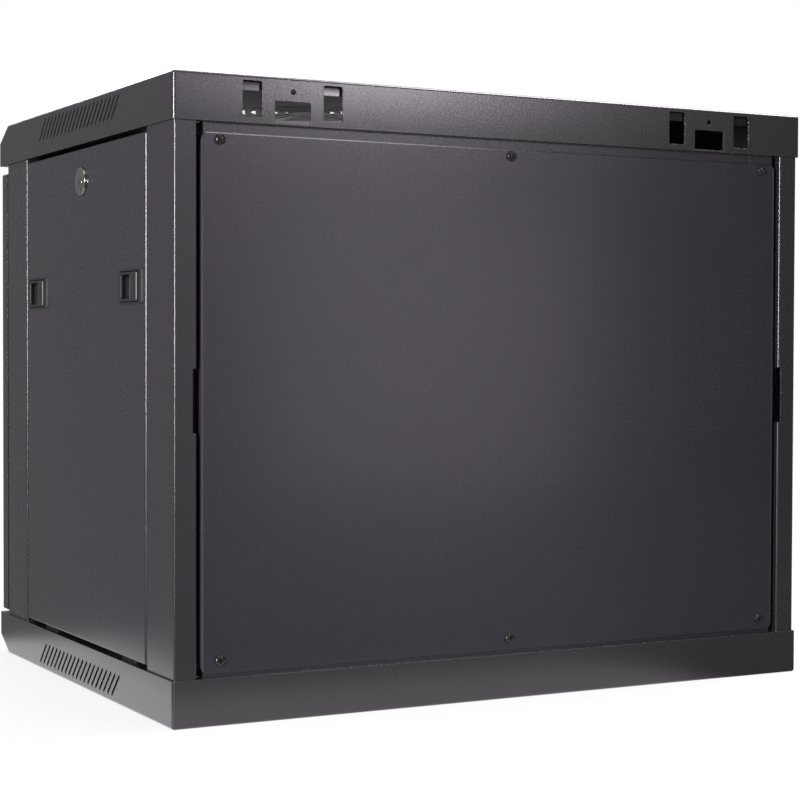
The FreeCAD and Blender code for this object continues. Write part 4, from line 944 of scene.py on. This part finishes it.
@dataclass(frozen=True)
class CamLock:
    """Quarter-turn cam lock. Height 0 is the panel's outer face, and Z points out of the panel."""

    depth: float
    cam_level: float
    cam_reach: float
    cam_heading: float
    bezel: float = 12.3
    bezel_rise: float = 2.0
    bezel_roll: float = 1.1
    barrel: float = 9.4
    barrel_flats: float = 8.7
    pitch: float = 1.0
    thread: float = 0.22
    plug: float = 6.4
    plug_face: float = -0.3
    fit: float = 0.05
    slot: Pair = (1.0, 4.2)
    slot_depth: float = 4.0
    ring: float = 5.2
    ring_half: float = 0.25
    ring_depth: float = 0.15
    nut_point: float = 13.0
    nut_height: float = 3.5
    cam_width: float = 12.0
    cam_sheet: float = 2.0
    cam_roll: float = 0.45
    square: float = 3.0
    square_end: float = 0.6

    def housing(self) -> np.ndarray:
        """Grid that closes on itself: bore, stepped face, rounded bezel and threaded barrel with flats."""
        form = Round(sides=120)
        bore = self.plug + self.fit
        rise, roll = self.bezel_rise, self.bezel_roll
        turn = arc(90.0, 0.0, 8)
        level = np.linspace(-0.4, -self.depth + 0.4, 40)
        side = form.flats(self.barrel, self.barrel_flats)[None, :]
        # Bore and face up to the bezel's crown, its roll, its seat on the panel, the thread and the end.
        return np.concatenate([
            form.turned([bore, bore, bore + 0.4, self.bezel - 2.6, self.bezel - 2.2, self.bezel - 1.3],
                        [-self.depth, -0.9, -0.6, rise - 0.35, rise, rise]),
            form.turned(self.bezel - roll + roll * np.cos(turn), rise - roll + roll * np.sin(turn)),
            form.turned([self.bezel, self.bezel - 0.2, self.barrel], [0.25, 0.0, 0.0]),
            form.turned(side - form.thread(level, self.pitch, self.thread), level),
            form.turned(side - 0.5, [-self.depth]),
        ])

    def key_plug(self) -> np.ndarray:
        """Grid of the plug: slotted face, barrel, and the square that carries the cam."""
        form = Round(sides=96)
        across = np.linspace(0.0, 1.0, 40)[:, None] * (self.plug - 0.3)
        sunk = slot_recess(*form.spots(across), *self.slot) * self.slot_depth
        sunk = sunk + slope_down(np.abs(across - self.ring), self.ring_half, 0.15) * self.ring_depth
        tip = self.cam_level - self.cam_sheet - self.square_end
        face, end = self.plug_face, -self.depth
        stub = form.square(self.square)[None, :]
        return np.concatenate([
            form.turned(across, face - sunk),
            form.turned([self.plug - 0.1, self.plug, self.plug, self.plug - 0.2],
                        [face - 0.1, face - 0.3, end + 0.2, end]),
            form.turned(stub, [end]),
            form.turned(stub, [tip + 0.3]),
            form.turned(stub - 0.25, [tip]),
            form.turned([0.0], [tip]),
        ])

    def cam(self) -> np.ndarray:
        """Grid that closes on itself: square hole, top, rounded outline and underside of the stamped cam."""
        half = self.cam_width / 2
        reach = (self.cam_reach - half) / 2
        turn = math.radians(self.cam_heading)
        ends = (reach + half, half)
        half_x, half_y = ends if abs(math.cos(turn)) > 0.5 else ends[::-1]
        outline = Loop(half_x, half_y, half, (reach * math.cos(turn), reach * math.sin(turn)))
        hole = Loop(self.square + 0.02, self.square + 0.02, 0.2)
        top, low, roll = self.cam_level, self.cam_level - self.cam_sheet, self.cam_roll
        return np.stack([hole.ring(0.0, low), hole.ring(0.0, top),
                         *outline.rolled(roll, top - roll, 90.0, 0.0, 5),
                         *outline.rolled(roll, low + roll, 0.0, -90.0, 5)])

    def nut(self, sheet: float) -> np.ndarray:
        """The nut behind the panel's sheet."""
        points = HexagonNut(self.nut_point * math.cos(math.pi / 6), self.nut_height, self.barrel).surface()
        return points - (0.0, 0.0, sheet + self.nut_height)


@dataclass(frozen=True)
class SlideLatch:
    """Slide latch. X runs along its travel, Z 0 is the panel's outer face and Z points out of the panel.

    A Span is an outline's lowest X, highest X and half height.
    """

    length: float = 54.0
    width: float = 29.0
    flange: float = 1.0
    flange_roll: float = 0.7
    depth: float = 10.0
    wall: float = 0.9
    window: Span = (-24.0, 20.0, 12.4)
    window_roll: float = 0.35
    neck: Span = (-9.3, 9.3, 6.3)
    slider: Span = (-23.7, 14.7, 12.1)
    slider_low: float = -8.8
    slider_roll: float = 1.9
    crown: float = 1.7
    finger: Span = (-18.7, 2.3, 9.7)
    finger_roll: float = 0.4
    finger_floor: float = -7.6
    hollow: Span = (-22.7, 13.4, 11.0)
    shell: float = 1.6
    hook: Span = (-9.0, -1.0, 6.0)
    hook_end: float = 4.0
    hook_low: float = -20.7
    hook_tip: float = 2.0

    @staticmethod
    def _loop(outline: Sequence[float], corner: float, steps: int = 12) -> Loop:
        """Outline between two X places with a half height."""
        low, high, half = outline
        return Loop((high - low) / 2, half, corner, ((low + high) / 2, 0.0), steps)

    def holder(self) -> np.ndarray:
        """Grid that closes on itself: neck slot, window walls, rolled rim and sleeve behind the panel."""
        window = self._loop(self.window, 1.0)
        neck = self._loop(self.neck, 0.8)
        rim = Loop(self.length / 2, self.width / 2, 2.2)
        sleeve = self._loop(np.array(self.window) + np.array([-1.0, 1.0, 1.0]) * self.wall, 1.6)
        back, floor = -self.depth, self.wall - self.depth
        return np.stack([neck.ring(0.0, back), neck.ring(0.0, floor), window.ring(0.0, floor),
                         *window.rolled(-self.window_roll, self.flange - self.window_roll, 0.0, 90.0, 4),
                         *rim.rolled(self.flange_roll, self.flange - self.flange_roll, 90.0, 0.0),
                         rim.ring(0.0, 0.0), sleeve.ring(0.0, 0.0), sleeve.ring(0.3, back)])

    def thumb_slider(self) -> list[np.ndarray]:
        """Grids of the slider: a block with rolled edges and a finger hole, and the hook behind it."""
        block, hole = self._loop(self.slider, 1.6), self._loop(self.finger, 1.6)
        hollow = self._loop(self.hollow, 1.0)
        low, floor, shell = self.slider_low, self.finger_floor, self.crown - self.shell
        body = np.stack([hollow.point(floor), hollow.ring(0.4, floor), hollow.ring(0.0, floor + 0.4),
                         hollow.ring(0.0, shell), hole.ring(0.0, shell),
                         *hole.rolled(-self.finger_roll, self.crown - self.finger_roll, 0.0, 90.0, 5),
                         *block.rolled(self.slider_roll, self.crown - self.slider_roll, 90.0, 0.0, 8),
                         block.ring(0.0, low + 0.4), block.ring(0.4, low), block.point(low)])
        neck = self._loop(self.hook, 0.5, 4)
        tip = self._loop((self.hook[0], self.hook_end, self.hook[2]), 0.5, 4)
        root, end, top = low + 0.6, self.hook_low, self.hook_low + self.hook_tip
        stem = np.stack([neck.point(root), neck.ring(0.0, root), neck.ring(0.0, top), tip.ring(0.0, top),
                         tip.ring(0.0, end + 0.4), tip.ring(0.4, end), tip.point(end)])
        return [body, stem]


@dataclass(frozen=True)
class HingePin:
    """Upright hinge pin with rounded ends, a groove and a knurled grip."""

    radius: float
    length: float
    end: float = 0.5
    grip: float = 9.0
    grip_from: float = 1.5
    knurls: int = 18
    knurl_depth: float = 0.16
    groove_place: float = 0.72
    groove_half: float = 0.7
    groove_depth: float = 0.35

    def surface(self) -> np.ndarray:
        """Grid from the lower end's middle to the upper end's: radius less groove and knurl."""
        form = Round(sides=72)
        turn = arc(0.0, 90.0)
        level = np.linspace(self.end, self.length - self.end, 60)
        groove = slope_down(np.abs(level - self.length * self.groove_place), self.groove_half, 0.3)
        gripped = slope_down(np.abs(level - self.grip / 2 - self.grip_from), self.grip / 2, 0.4)
        knurl = self.knurl_depth * np.abs(np.sin(form.angles() * self.knurls))
        side = self.radius - groove[:, None] * self.groove_depth - gripped[:, None] * knurl
        edge, inner = self.end * np.sin(turn), self.radius - self.end
        return np.concatenate([
            form.turned([0.0], [0.0]),
            form.turned(inner + edge, self.end * (1.0 - np.cos(turn))),
            form.turned(side, level),
            form.turned(inner + edge[::-1], self.length - self.end + edge),
            form.turned([0.0], [self.length]),
        ])


@dataclass(frozen=True)
class FlangedBush:
    """Bush with a rolled flange. Height 0 is the flange's seat, and the flange lies above it."""

    bore: float
    sleeve: float
    flange: float
    flange_rise: float
    sleeve_drop: float
    roll: float = 0.6

    def surface(self) -> np.ndarray:
        """Grid that closes on itself: bore, rolled flange and sleeve."""
        turn = arc(90.0, 0.0)
        bore, end, face, roll = self.bore, -self.sleeve_drop, self.flange_rise, self.roll
        radius = [bore + 0.3, bore, bore, bore + 0.4, *(self.flange - roll + roll * np.cos(turn)),
                  self.flange, self.sleeve, self.sleeve]
        height = [end, end + 0.3, face - 0.4, face, *(face - roll + roll * np.sin(turn)), 0.0, 0.0, end]
        return Round(sides=64).turned(radius, height)


# ---------------------------------------------------------------- sides

class Hand(Enum):
    """The two sides of the cabinet; the value is the side's sign along X."""

    RIGHT = 1
    LEFT = -1

    @property
    def word(self) -> str:
        """The side's word in node and body names."""
        return self.name.lower()


# ---------------------------------------------------------------- sub-assemblies

class Assembly(ABC):
    """A sub-assembly of the cabinet."""

    @abstractmethod
    def build(self, finishes: Finishes) -> list[str]:
        """Dress the carried-over pieces and make the detailed ones.

        Args:
            finishes: The cabinet's materials.

        Returns:
            The names of the pieces.
        """


@dataclass
class Shell(Assembly):
    """Roof cover, base tray and what is fixed to them."""

    entry_screw: Screw = Screw(head=4.3, rise=2.9, shank=2.0, length=2.7)
    screen: Loop = Loop(half_x=132.0, half_y=14.5, corner=3.0)
    screen_middle: Pair = (-0.020, 0.4815)
    screen_thickness: float = 1.6
    cover_sheet: float = 1.5 * MM

    def build(self, finishes: Finishes) -> list[str]:
        """Dress the covers, and make the cable entry cover's screws and the vents' dust screens."""
        dressed = {"roof_cover": Finish.ROOF_PAINT, "base_tray": Finish.FRAME_PAINT,
                   "hanger_angle": Finish.HANGER_PAINT, "base_entry_cover": Finish.FRAME_PAINT}
        for node, finish in dressed.items():
            finishes.dress(node, finish)
        screws = stand_in("entry_cover_screws", "entry_cover_cross_screws", [self.entry_screw.surface()],
                          seats("entry_cover_screws", (0.0, 0.0, 1.0), self.entry_screw.rise),
                          finishes.of(Finish.BLACK_SCREW))
        foam = finishes.of(Finish.SEAL)
        return [*dressed, screws, *(self._vent_screen(hand, foam) for hand in Hand)]

    def _vent_screen(self, hand: Hand, foam: bpy.types.Material) -> str:
        """Dust screen behind the roof's side vents: rings of its outline, rolled at both faces."""
        roll = self.screen_thickness / 2
        rows = np.stack([self.screen.point(0.0), *self.screen.rolled(roll, roll, -90.0, 90.0, 9),
                         self.screen.point(self.screen_thickness)])
        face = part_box("roof_cover")[1][0] - self.cover_sheet
        skin = Skin()
        skin.grid(Stand((face * hand.value, *self.screen_middle), (-hand.value, 0.0, 0.0)).world(rows))
        piece = skin.make(f"roof_vent_screen_{hand.word}", foam)
        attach(piece, body_of("roof_cover"))
        return piece.name


@dataclass
class WeldedFrame(Assembly):
    """Corner posts, cross rails, depth tubes and the rack rails bolted to them."""

    posts: Sequence[str] = ("front_post", "rear_post", "lower_depth_tube", "keeper_tube", "upper_depth_tube")
    rails: Sequence[str] = ("rear_top_rail", "rear_bottom_rail", "front_top_rail", "front_bottom_rail")
    bolt: Screw = Screw(head=5.0, rise=3.2, shank=3.0, length=9.1, pitch=1.0, thread=0.35, socket=2.0)
    nut: HexagonNut = HexagonNut(half_flats=5.0, height=4.6, bore=3.0)

    def build(self, finishes: Finishes) -> list[str]:
        """Dress the frame, and make the rack rails' bolts and nuts."""
        painted = [*self.rails, *(f"{post}_{hand.word}" for hand in Hand for post in self.posts)]
        racks = [f"{end}_rack_rail_{hand.word}" for hand in Hand for end in ("front", "rear")]
        for node in painted:
            finishes.dress(node, Finish.FRAME_PAINT)
        for node in racks:
            finishes.dress(node, Finish.RAIL_PAINT)
        zinc = finishes.of(Finish.ZINC)
        bolts = stand_in("rack_rail_bolts", "rack_rail_socket_bolts", [self.bolt.surface()],
                         seats("rack_rail_bolts", (-1.0, 0.0, 0.0), self.bolt.rise), zinc)
        nuts = stand_in("rack_rail_nuts", "rack_rail_hexagon_nuts", [self.nut.surface()],
                        seats("rack_rail_nuts", (1.0, 0.0, 0.0), self.nut.height), zinc, loop=True)
        return [*painted, *racks, bolts, nuts]


@dataclass
class RearPanel(Assembly):
    """Screwed rear panel."""

    screw: Screw = Screw(head=4.3, rise=2.9, shank=2.0, length=9.0)

    def build(self, finishes: Finishes) -> list[str]:
        """Dress the panel and make its screws."""
        finishes.dress("rear_panel", Finish.REAR_PAINT)
        screws = stand_in("rear_panel_screws", "rear_panel_cross_screws", [self.screw.surface()],
                          seats("rear_panel_screws", (0.0, 1.0, 0.0), self.screw.rise),
                          finishes.of(Finish.BLACK_SCREW))
        return ["rear_panel", screws]


def fit_lock(prefix: str, lock: CamLock, sheet: float, stand: Stand, finishes: Finishes) -> list[str]:
    """Make a cam lock's housing, key plug, cam and nut.

    Args:
        prefix: The start of the lock's node names.
        lock: Its sizes.
        sheet: Thickness of the sheet it is mounted in.
        stand: Where it stands.
        finishes: The cabinet's materials.

    Returns:
        The names of the pieces.
    """
    parts = {
        "housing": ("turned_housing", lock.housing(), True, Finish.CHROME),
        "plug": ("key_plug", lock.key_plug(), False, Finish.CHROME),
        "cam": ("stamped_cam", lock.cam(), True, Finish.ZINC),
        "nut": ("hexagon_nut", lock.nut(sheet), True, Finish.ZINC),
    }
    return [stand_in(f"{prefix}_{part}", f"{prefix}_{name}", [points], [stand], finishes.of(finish), loop)
            for part, (name, points, loop, finish) in parts.items()]


@dataclass
class SidePanel(Assembly):
    """Lift-off side panel with its lock and its two slide latches."""

    hand: Hand
    sheet: float = 1.2
    lock: CamLock = CamLock(depth=12.8, cam_level=-13.6, cam_reach=37.0, cam_heading=180.0)
    latch: SlideLatch = SlideLatch()

    def build(self, finishes: Finishes) -> list[str]:
        """Dress the panel, and make its lock and latches."""
        word = self.hand.word
        panel, out = f"side_panel_{word}", (self.hand.value, 0.0, 0.0)
        finishes.dress(panel, Finish.PANEL_PAINT)
        stand = on_face(panel, f"side_lock_{word}_housing", out)
        made = [panel, *fit_lock(f"side_lock_{word}", self.lock, self.sheet, stand, finishes)]
        moulded = finishes.of(Finish.LATCH)
        for place in (f"{word}_front", f"{word}_rear"):
            stand = on_face(panel, f"latch_frame_{place}", out)
            made.append(stand_in(f"latch_frame_{place}", f"latch_holder_{place}", [self.latch.holder()],
                                 [stand], moulded, loop=True))
            made.append(stand_in(f"latch_slider_{place}", f"latch_thumb_slider_{place}",
                                 self.latch.thumb_slider(), [stand], moulded))
        return made


@dataclass
class GlassDoor(Assembly):
    """Front door with its glass, seal, hinge pins, bushes and lock."""

    sheet: float = 1.2
    lock: CamLock = CamLock(depth=17.0, cam_level=-21.7, cam_reach=22.0, cam_heading=-90.0)
    bush: FlangedBush = FlangedBush(bore=3.05, sleeve=4.45, flange=6.5, flange_rise=1.6, sleeve_drop=1.5)
    outwards: Place = (0.0, -1.0, 0.0)
    seal_corner: float = 4.0
    seal_wall: float = 1.0
    seal_reach: float = 8.5
    seal_channel: float = 1.9
    seal_edge: Sequence[Pair] = ((0.0, 0.6), (0.2, 0.2), (0.6, 0.0))

    def build(self, finishes: Finishes) -> list[str]:
        """Dress the door and its glass, and make its seal, hinges and lock."""
        finishes.dress("door_frame", Finish.PANEL_PAINT)
        finishes.dress("door_glass", Finish.GLASS)
        made = ["door_frame", "door_glass", self._seal(finishes.of(Finish.SEAL))]
        for end, up in (("top", 1.0), ("bottom", -1.0)):
            made += self._hinge(end, up, finishes)
        stand = on_face("door_frame", "door_lock_housing", self.outwards)
        return made + fit_lock("door_lock", self.lock, self.sheet, stand, finishes)

    def _seal(self, rubber: bpy.types.Material) -> str:
        """Rubber channel: a two-lipped section carried along the glass's rounded outline."""
        low, high = np.array(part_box("glass_seal"))
        width, thickness, height = (high - low) / MM
        outline = Loop(width / 2, height / 2, self.seal_corner, steps=16)
        wall, channel = self.seal_wall, self.seal_channel
        bead = wall / 2
        tip = self.seal_reach - bead
        # One half of the section: outer edge, the lip's bead, the lip's back and the channel's floor.
        half = [*self.seal_edge,
                *((tip + bead * math.cos(a), bead + bead * math.sin(a)) for a in arc(-90.0, 90.0)),
                (tip - 1.5, wall - 0.2), (channel + 0.5, wall - 0.05), (channel, wall + 0.4)]
        whole = half + [(inset, thickness - level) for inset, level in reversed(half)]
        rings = np.stack([outline.ring(inset, level) for inset, level in whole])
        stand = Stand(np.where((False, True, False), high, (low + high) / 2), self.outwards)
        return stand_in("glass_seal", "glass_lip_seal", [rings], [stand], rubber, loop=True)

    def _hinge(self, end: str, up: float, finishes: Finishes) -> list[str]:
        """Make one hinge pin, root first, and the bush it turns in.

        Args:
            end: top or bottom.
            up: 1 where the pin points up, -1 where down.
            finishes: The cabinet's materials.

        Returns:
            The names of both pieces.
        """
        low, high = np.array(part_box(f"hinge_pin_{end}"))
        middle, size = (low + high) / 2, high - low
        upwards = np.array([0.0, 0.0, up])
        pin = HingePin(size[0] / 2 / MM, size[2] / MM)
        turned = stand_in(f"hinge_pin_{end}", f"hinge_knurled_pin_{end}", [pin.surface()],
                          [Stand(middle - upwards * size / 2, upwards)], finishes.of(Finish.STEEL))
        low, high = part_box(f"hinge_bush_{end}")
        seat = (low if up > 0 else high)[2] + up * self.bush.flange_rise * MM
        stand = Stand((middle[0], middle[1], seat), -upwards)
        flanged = stand_in(f"hinge_bush_{end}", f"hinge_flanged_bush_{end}", [self.bush.surface()],
                           [stand], finishes.of(Finish.BUSH), loop=True)
        return [turned, flanged]


# ---------------------------------------------------------------- studio

@dataclass(frozen=True)
class Softbox:
    """A rectangular lamp that looks at a point."""

    name: str
    azimuth: float
    elevation: float
    distance: float
    width: float
    height: float
    watts: float
    colour: Colour = WHITE
    target: Place = (0.0, 0.0, 0.25)

    def hang(self) -> None:
        """Make the lamp. Azimuth is measured from +X towards +Y, in degrees."""
        lamp = bpy.data.lights.new(self.name, "AREA")
        lamp.shape = "RECTANGLE"
        lamp.size = self.width
        lamp.size_y = self.height
        lamp.energy = self.watts
        lamp.color = self.colour
        holder = bpy.data.objects.new(self.name, lamp)
        turn, rise = math.radians(self.azimuth), math.radians(self.elevation)
        away = Vector((math.cos(turn) * math.cos(rise), math.sin(turn) * math.cos(rise), math.sin(rise)))
        holder.location = Vector(self.target) + away * self.distance
        holder.rotation_euler = (-away).to_track_quat("-Z", "Y").to_euler()
        holder.visible_camera = False
        bpy.context.scene.collection.objects.link(holder)


@dataclass
class Studio:
    """Pale floor, a dark board for reflections, white surroundings, soft lamps and the camera."""

    floor_radius: float = 30.0
    floor: MattSurface = MattSurface("studio_floor", grey(0.80), grey(0.776), mottle=2.0, share=0.1,
                                     roughness=0.7, shine=0.2)
    floor_fade: Pair = (0.55, 1.6)
    shadow_keep: float = 0.2
    footprint: Place = (0.20, 0.225, 0.0)
    patch: Place = (0.10, 0.04, 0.0)
    # Painted reflections: how bright the floor glows in glosses alone, round the footprint, in a pool of
    # light and behind.
    patch_gloss: float = 1.25
    patch_edge: Pair = (0.05, 0.15)
    floor_gloss: float = 0.15
    pool_azimuth: float = 118.0
    pool_start: Place = (0.09, 0.225, 0.0)
    pool_side: Pair = (0.05, 0.40)
    pool_ahead: Pair = (0.25, 0.55)
    pool_gloss: float = 0.45
    behind: Pair = (-0.2, 0.3)
    ambient: float = 0.24
    flag_azimuth: float = 134.0
    flag_distance: float = 2.0
    flag_width: float = 0.72
    flag_height: float = 1.3
    flag_cloth: MattSurface = MattSurface("flag_cloth", grey(0.004), grey(0.012), mottle=400.0, share=1.0,
                                          roughness=0.9, shine=0.1)
    softboxes: Sequence[Softbox] = (
        Softbox("corner_strip", 40.0, 8.0, 2.4, 0.30, 0.8, 88.0, (0.98, 0.95, 1.0)),
        Softbox("rear_strip", 119.0, 0.0, 2.4, 0.65, 0.75, 2.0, target=(0.105, 0.222, 0.2)),
        Softbox("rear_spot", 117.5, 16.0, 2.2, 0.32, 0.44, 10.0, target=(0.105, 0.222, 0.48)),
        Softbox("top_softbox", 60.0, 75.0, 2.2, 1.4, 1.4, 18.0),
        Softbox("front_softbox", -100.0, 35.0, 2.6, 1.2, 1.0, 40.0),
        Softbox("left_softbox", 178.0, 58.0, 2.4, 1.0, 1.0, 60.0),
        Softbox("roof_glow", -118.0, -4.5, 0.2, 0.40, 0.010, 0.017, target=(0.1, 0.03, 0.499)),
    )
    sensor: float = 36.0
    focal_length: float = 87.3558
    view_range: Pair = (0.05, 100.0)
    camera_place: Place = (0.8386, 1.5977, 0.2899)
    camera_azimuth: float = 2.651
    camera_rise: float = 0.0262
    camera_roll: float = 0.0031

    def build(self) -> None:
        """Make floor, board, world, lamps and camera."""
        self._floor()
        self._flag()
        self._world()
        for softbox in self.softboxes:
            softbox.hang()
        self._camera()

    def _floor(self) -> None:
        """Round floor: rings of points round the origin, at radii that grow as the square of even steps."""
        form = Round(sides=96)
        radius = np.linspace(0.0, 1.0, 25) ** 2 * self.floor_radius
        skin = Skin()
        skin.grid(form.turned(radius, np.zeros(len(radius))))
        skin.make("floor", self._floor_material())

    def _flag(self) -> None:
        """Dark board seen by glosses alone, which fades the wall side's reflections towards the left."""
        turn = math.radians(self.flag_azimuth)
        heading = np.array([math.cos(turn), math.sin(turn), 0.0])
        board = Loop(self.flag_width / MM / 2, self.flag_height / MM / 2, corner=30.0)
        stand = Stand(heading * self.flag_distance + (0.0, 0.0, self.flag_height / 2), -heading)
        skin = Skin()
        skin.grid(stand.world(np.stack([board.point(0.0), board.ring(0.0, 0.0)])))
        flag = skin.make("dark_flag", self.flag_cloth.make())
        for ray in ("camera", "diffuse", "shadow", "transmission"):
            setattr(flag, f"visible_{ray}", False)

    def _floor_material(self) -> bpy.types.Material:
        """Pale floor that fades into the white surroundings away from the cabinet."""
        material, mix = new_material(self.floor.name)
        far = mix.vectors("LENGTH", mix.place(), output="Value").step(*self.floor_fade)
        matt = mix.surface(self.floor.surface(mix))
        glossy = mix.node("ShaderNodeLightPath", output="Is Glossy Ray")
        seen = mix.blend(glossy, WHITE, self._gloss_look(mix))
        white = mix.node("ShaderNodeEmission", None, {"Color": seen, "Strength": 1.0})
        share = (seen_through(mix) * far.spread(1.0 - self.shadow_keep, 1.0)).largest(glossy)
        mix.output(mix.node("ShaderNodeMixShader", None, {0: share, 1: matt, 2: white}))
        return material

    def _gloss_look(self, mix: Recipe) -> Socket:
        """What glosses see of the floor, a painted reflection: brighter than white round the footprint, and
        a painted pool of light in the dark behind.

        Distance past the footprint is the length of max(|place - patch| - footprint, 0).
        """
        patch = mix.vectors("ABSOLUTE", mix.vectors("SUBTRACT", mix.place(), self.patch))
        outside = mix.vectors("MAXIMUM", mix.vectors("SUBTRACT", patch, self.footprint), (0.0, 0.0, 0.0))
        beyond = mix.vectors("LENGTH", outside, output="Value")
        turn = math.radians(self.pool_azimuth)
        side = mix.along(self.pool_start, (math.sin(turn), -math.cos(turn), 0.0)).unsigned()
        ahead = mix.along(self.pool_start, (math.cos(turn), math.sin(turn), 0.0))
        pool = (1.0 - side.step(*self.pool_side)) * ahead.step(*self.pool_ahead)
        dark = mix.blend(ahead.step(*self.behind), grey(self.ambient), grey(self.floor_gloss))
        shaded = mix.blend(pool, dark, grey(self.pool_gloss))
        return mix.blend(beyond.step(*self.patch_edge), grey(self.patch_gloss), shaded)

    def _world(self) -> None:
        """White surroundings, and a softer ambient light on what stands in them."""
        world = bpy.data.worlds.new("studio_world")
        world.use_nodes = True
        bpy.context.scene.world = world
        mix = Recipe(world.node_tree)
        inputs = {"Color": mix.blend(seen_through(mix), grey(self.ambient), WHITE), "Strength": 1.0}
        mix.output(mix.node("ShaderNodeBackground", None, inputs), "ShaderNodeOutputWorld")

    def _camera(self) -> None:
        """Camera behind the cabinet and to its right, just above half height."""
        lens = bpy.data.cameras.new("camera")
        lens.sensor_width = self.sensor
        lens.lens = self.focal_length
        lens.clip_start = self.view_range[0]
        lens.clip_end = self.view_range[1]
        holder = bpy.data.objects.new("camera", lens)
        turns = ((self.camera_azimuth, "Z"), (math.pi / 2 - self.camera_rise, "X"), (self.camera_roll, "Z"))
        pose = Matrix.Translation(self.camera_place)
        for angle, axis in turns:
            pose = pose @ Matrix.Rotation(angle, 4, axis)
        holder.matrix_world = pose
        bpy.context.scene.collection.objects.link(holder)
        bpy.context.scene.camera = holder


def seen_through(mix: Recipe) -> Socket:
    """1 for rays straight from the camera or through the glass, and 0 for the others."""
    camera, through = (mix.node("ShaderNodeLightPath", output=name)
                       for name in ("Is Camera Ray", "Is Transmission Ray"))
    return camera.largest(through)


# ---------------------------------------------------------------- main


def main() -> None:
    """Build the cabinet's sub-assemblies in order, then the studio around them."""
    logging.basicConfig(level=logging.INFO, format="%(name)s: %(message)s")
    scene = bpy.context.scene
    scene.view_settings.view_transform = "Standard"
    finishes = Finishes()
    assemblies = [Shell(), WeldedFrame(), RearPanel(), *(SidePanel(hand) for hand in Hand), GlassDoor()]
    for assembly in assemblies:
        for piece in assembly.build(finishes):
            LOG.info("%s: %s", type(assembly).__name__, piece)
    Studio().build()


if __name__ == "__main__":
    main()
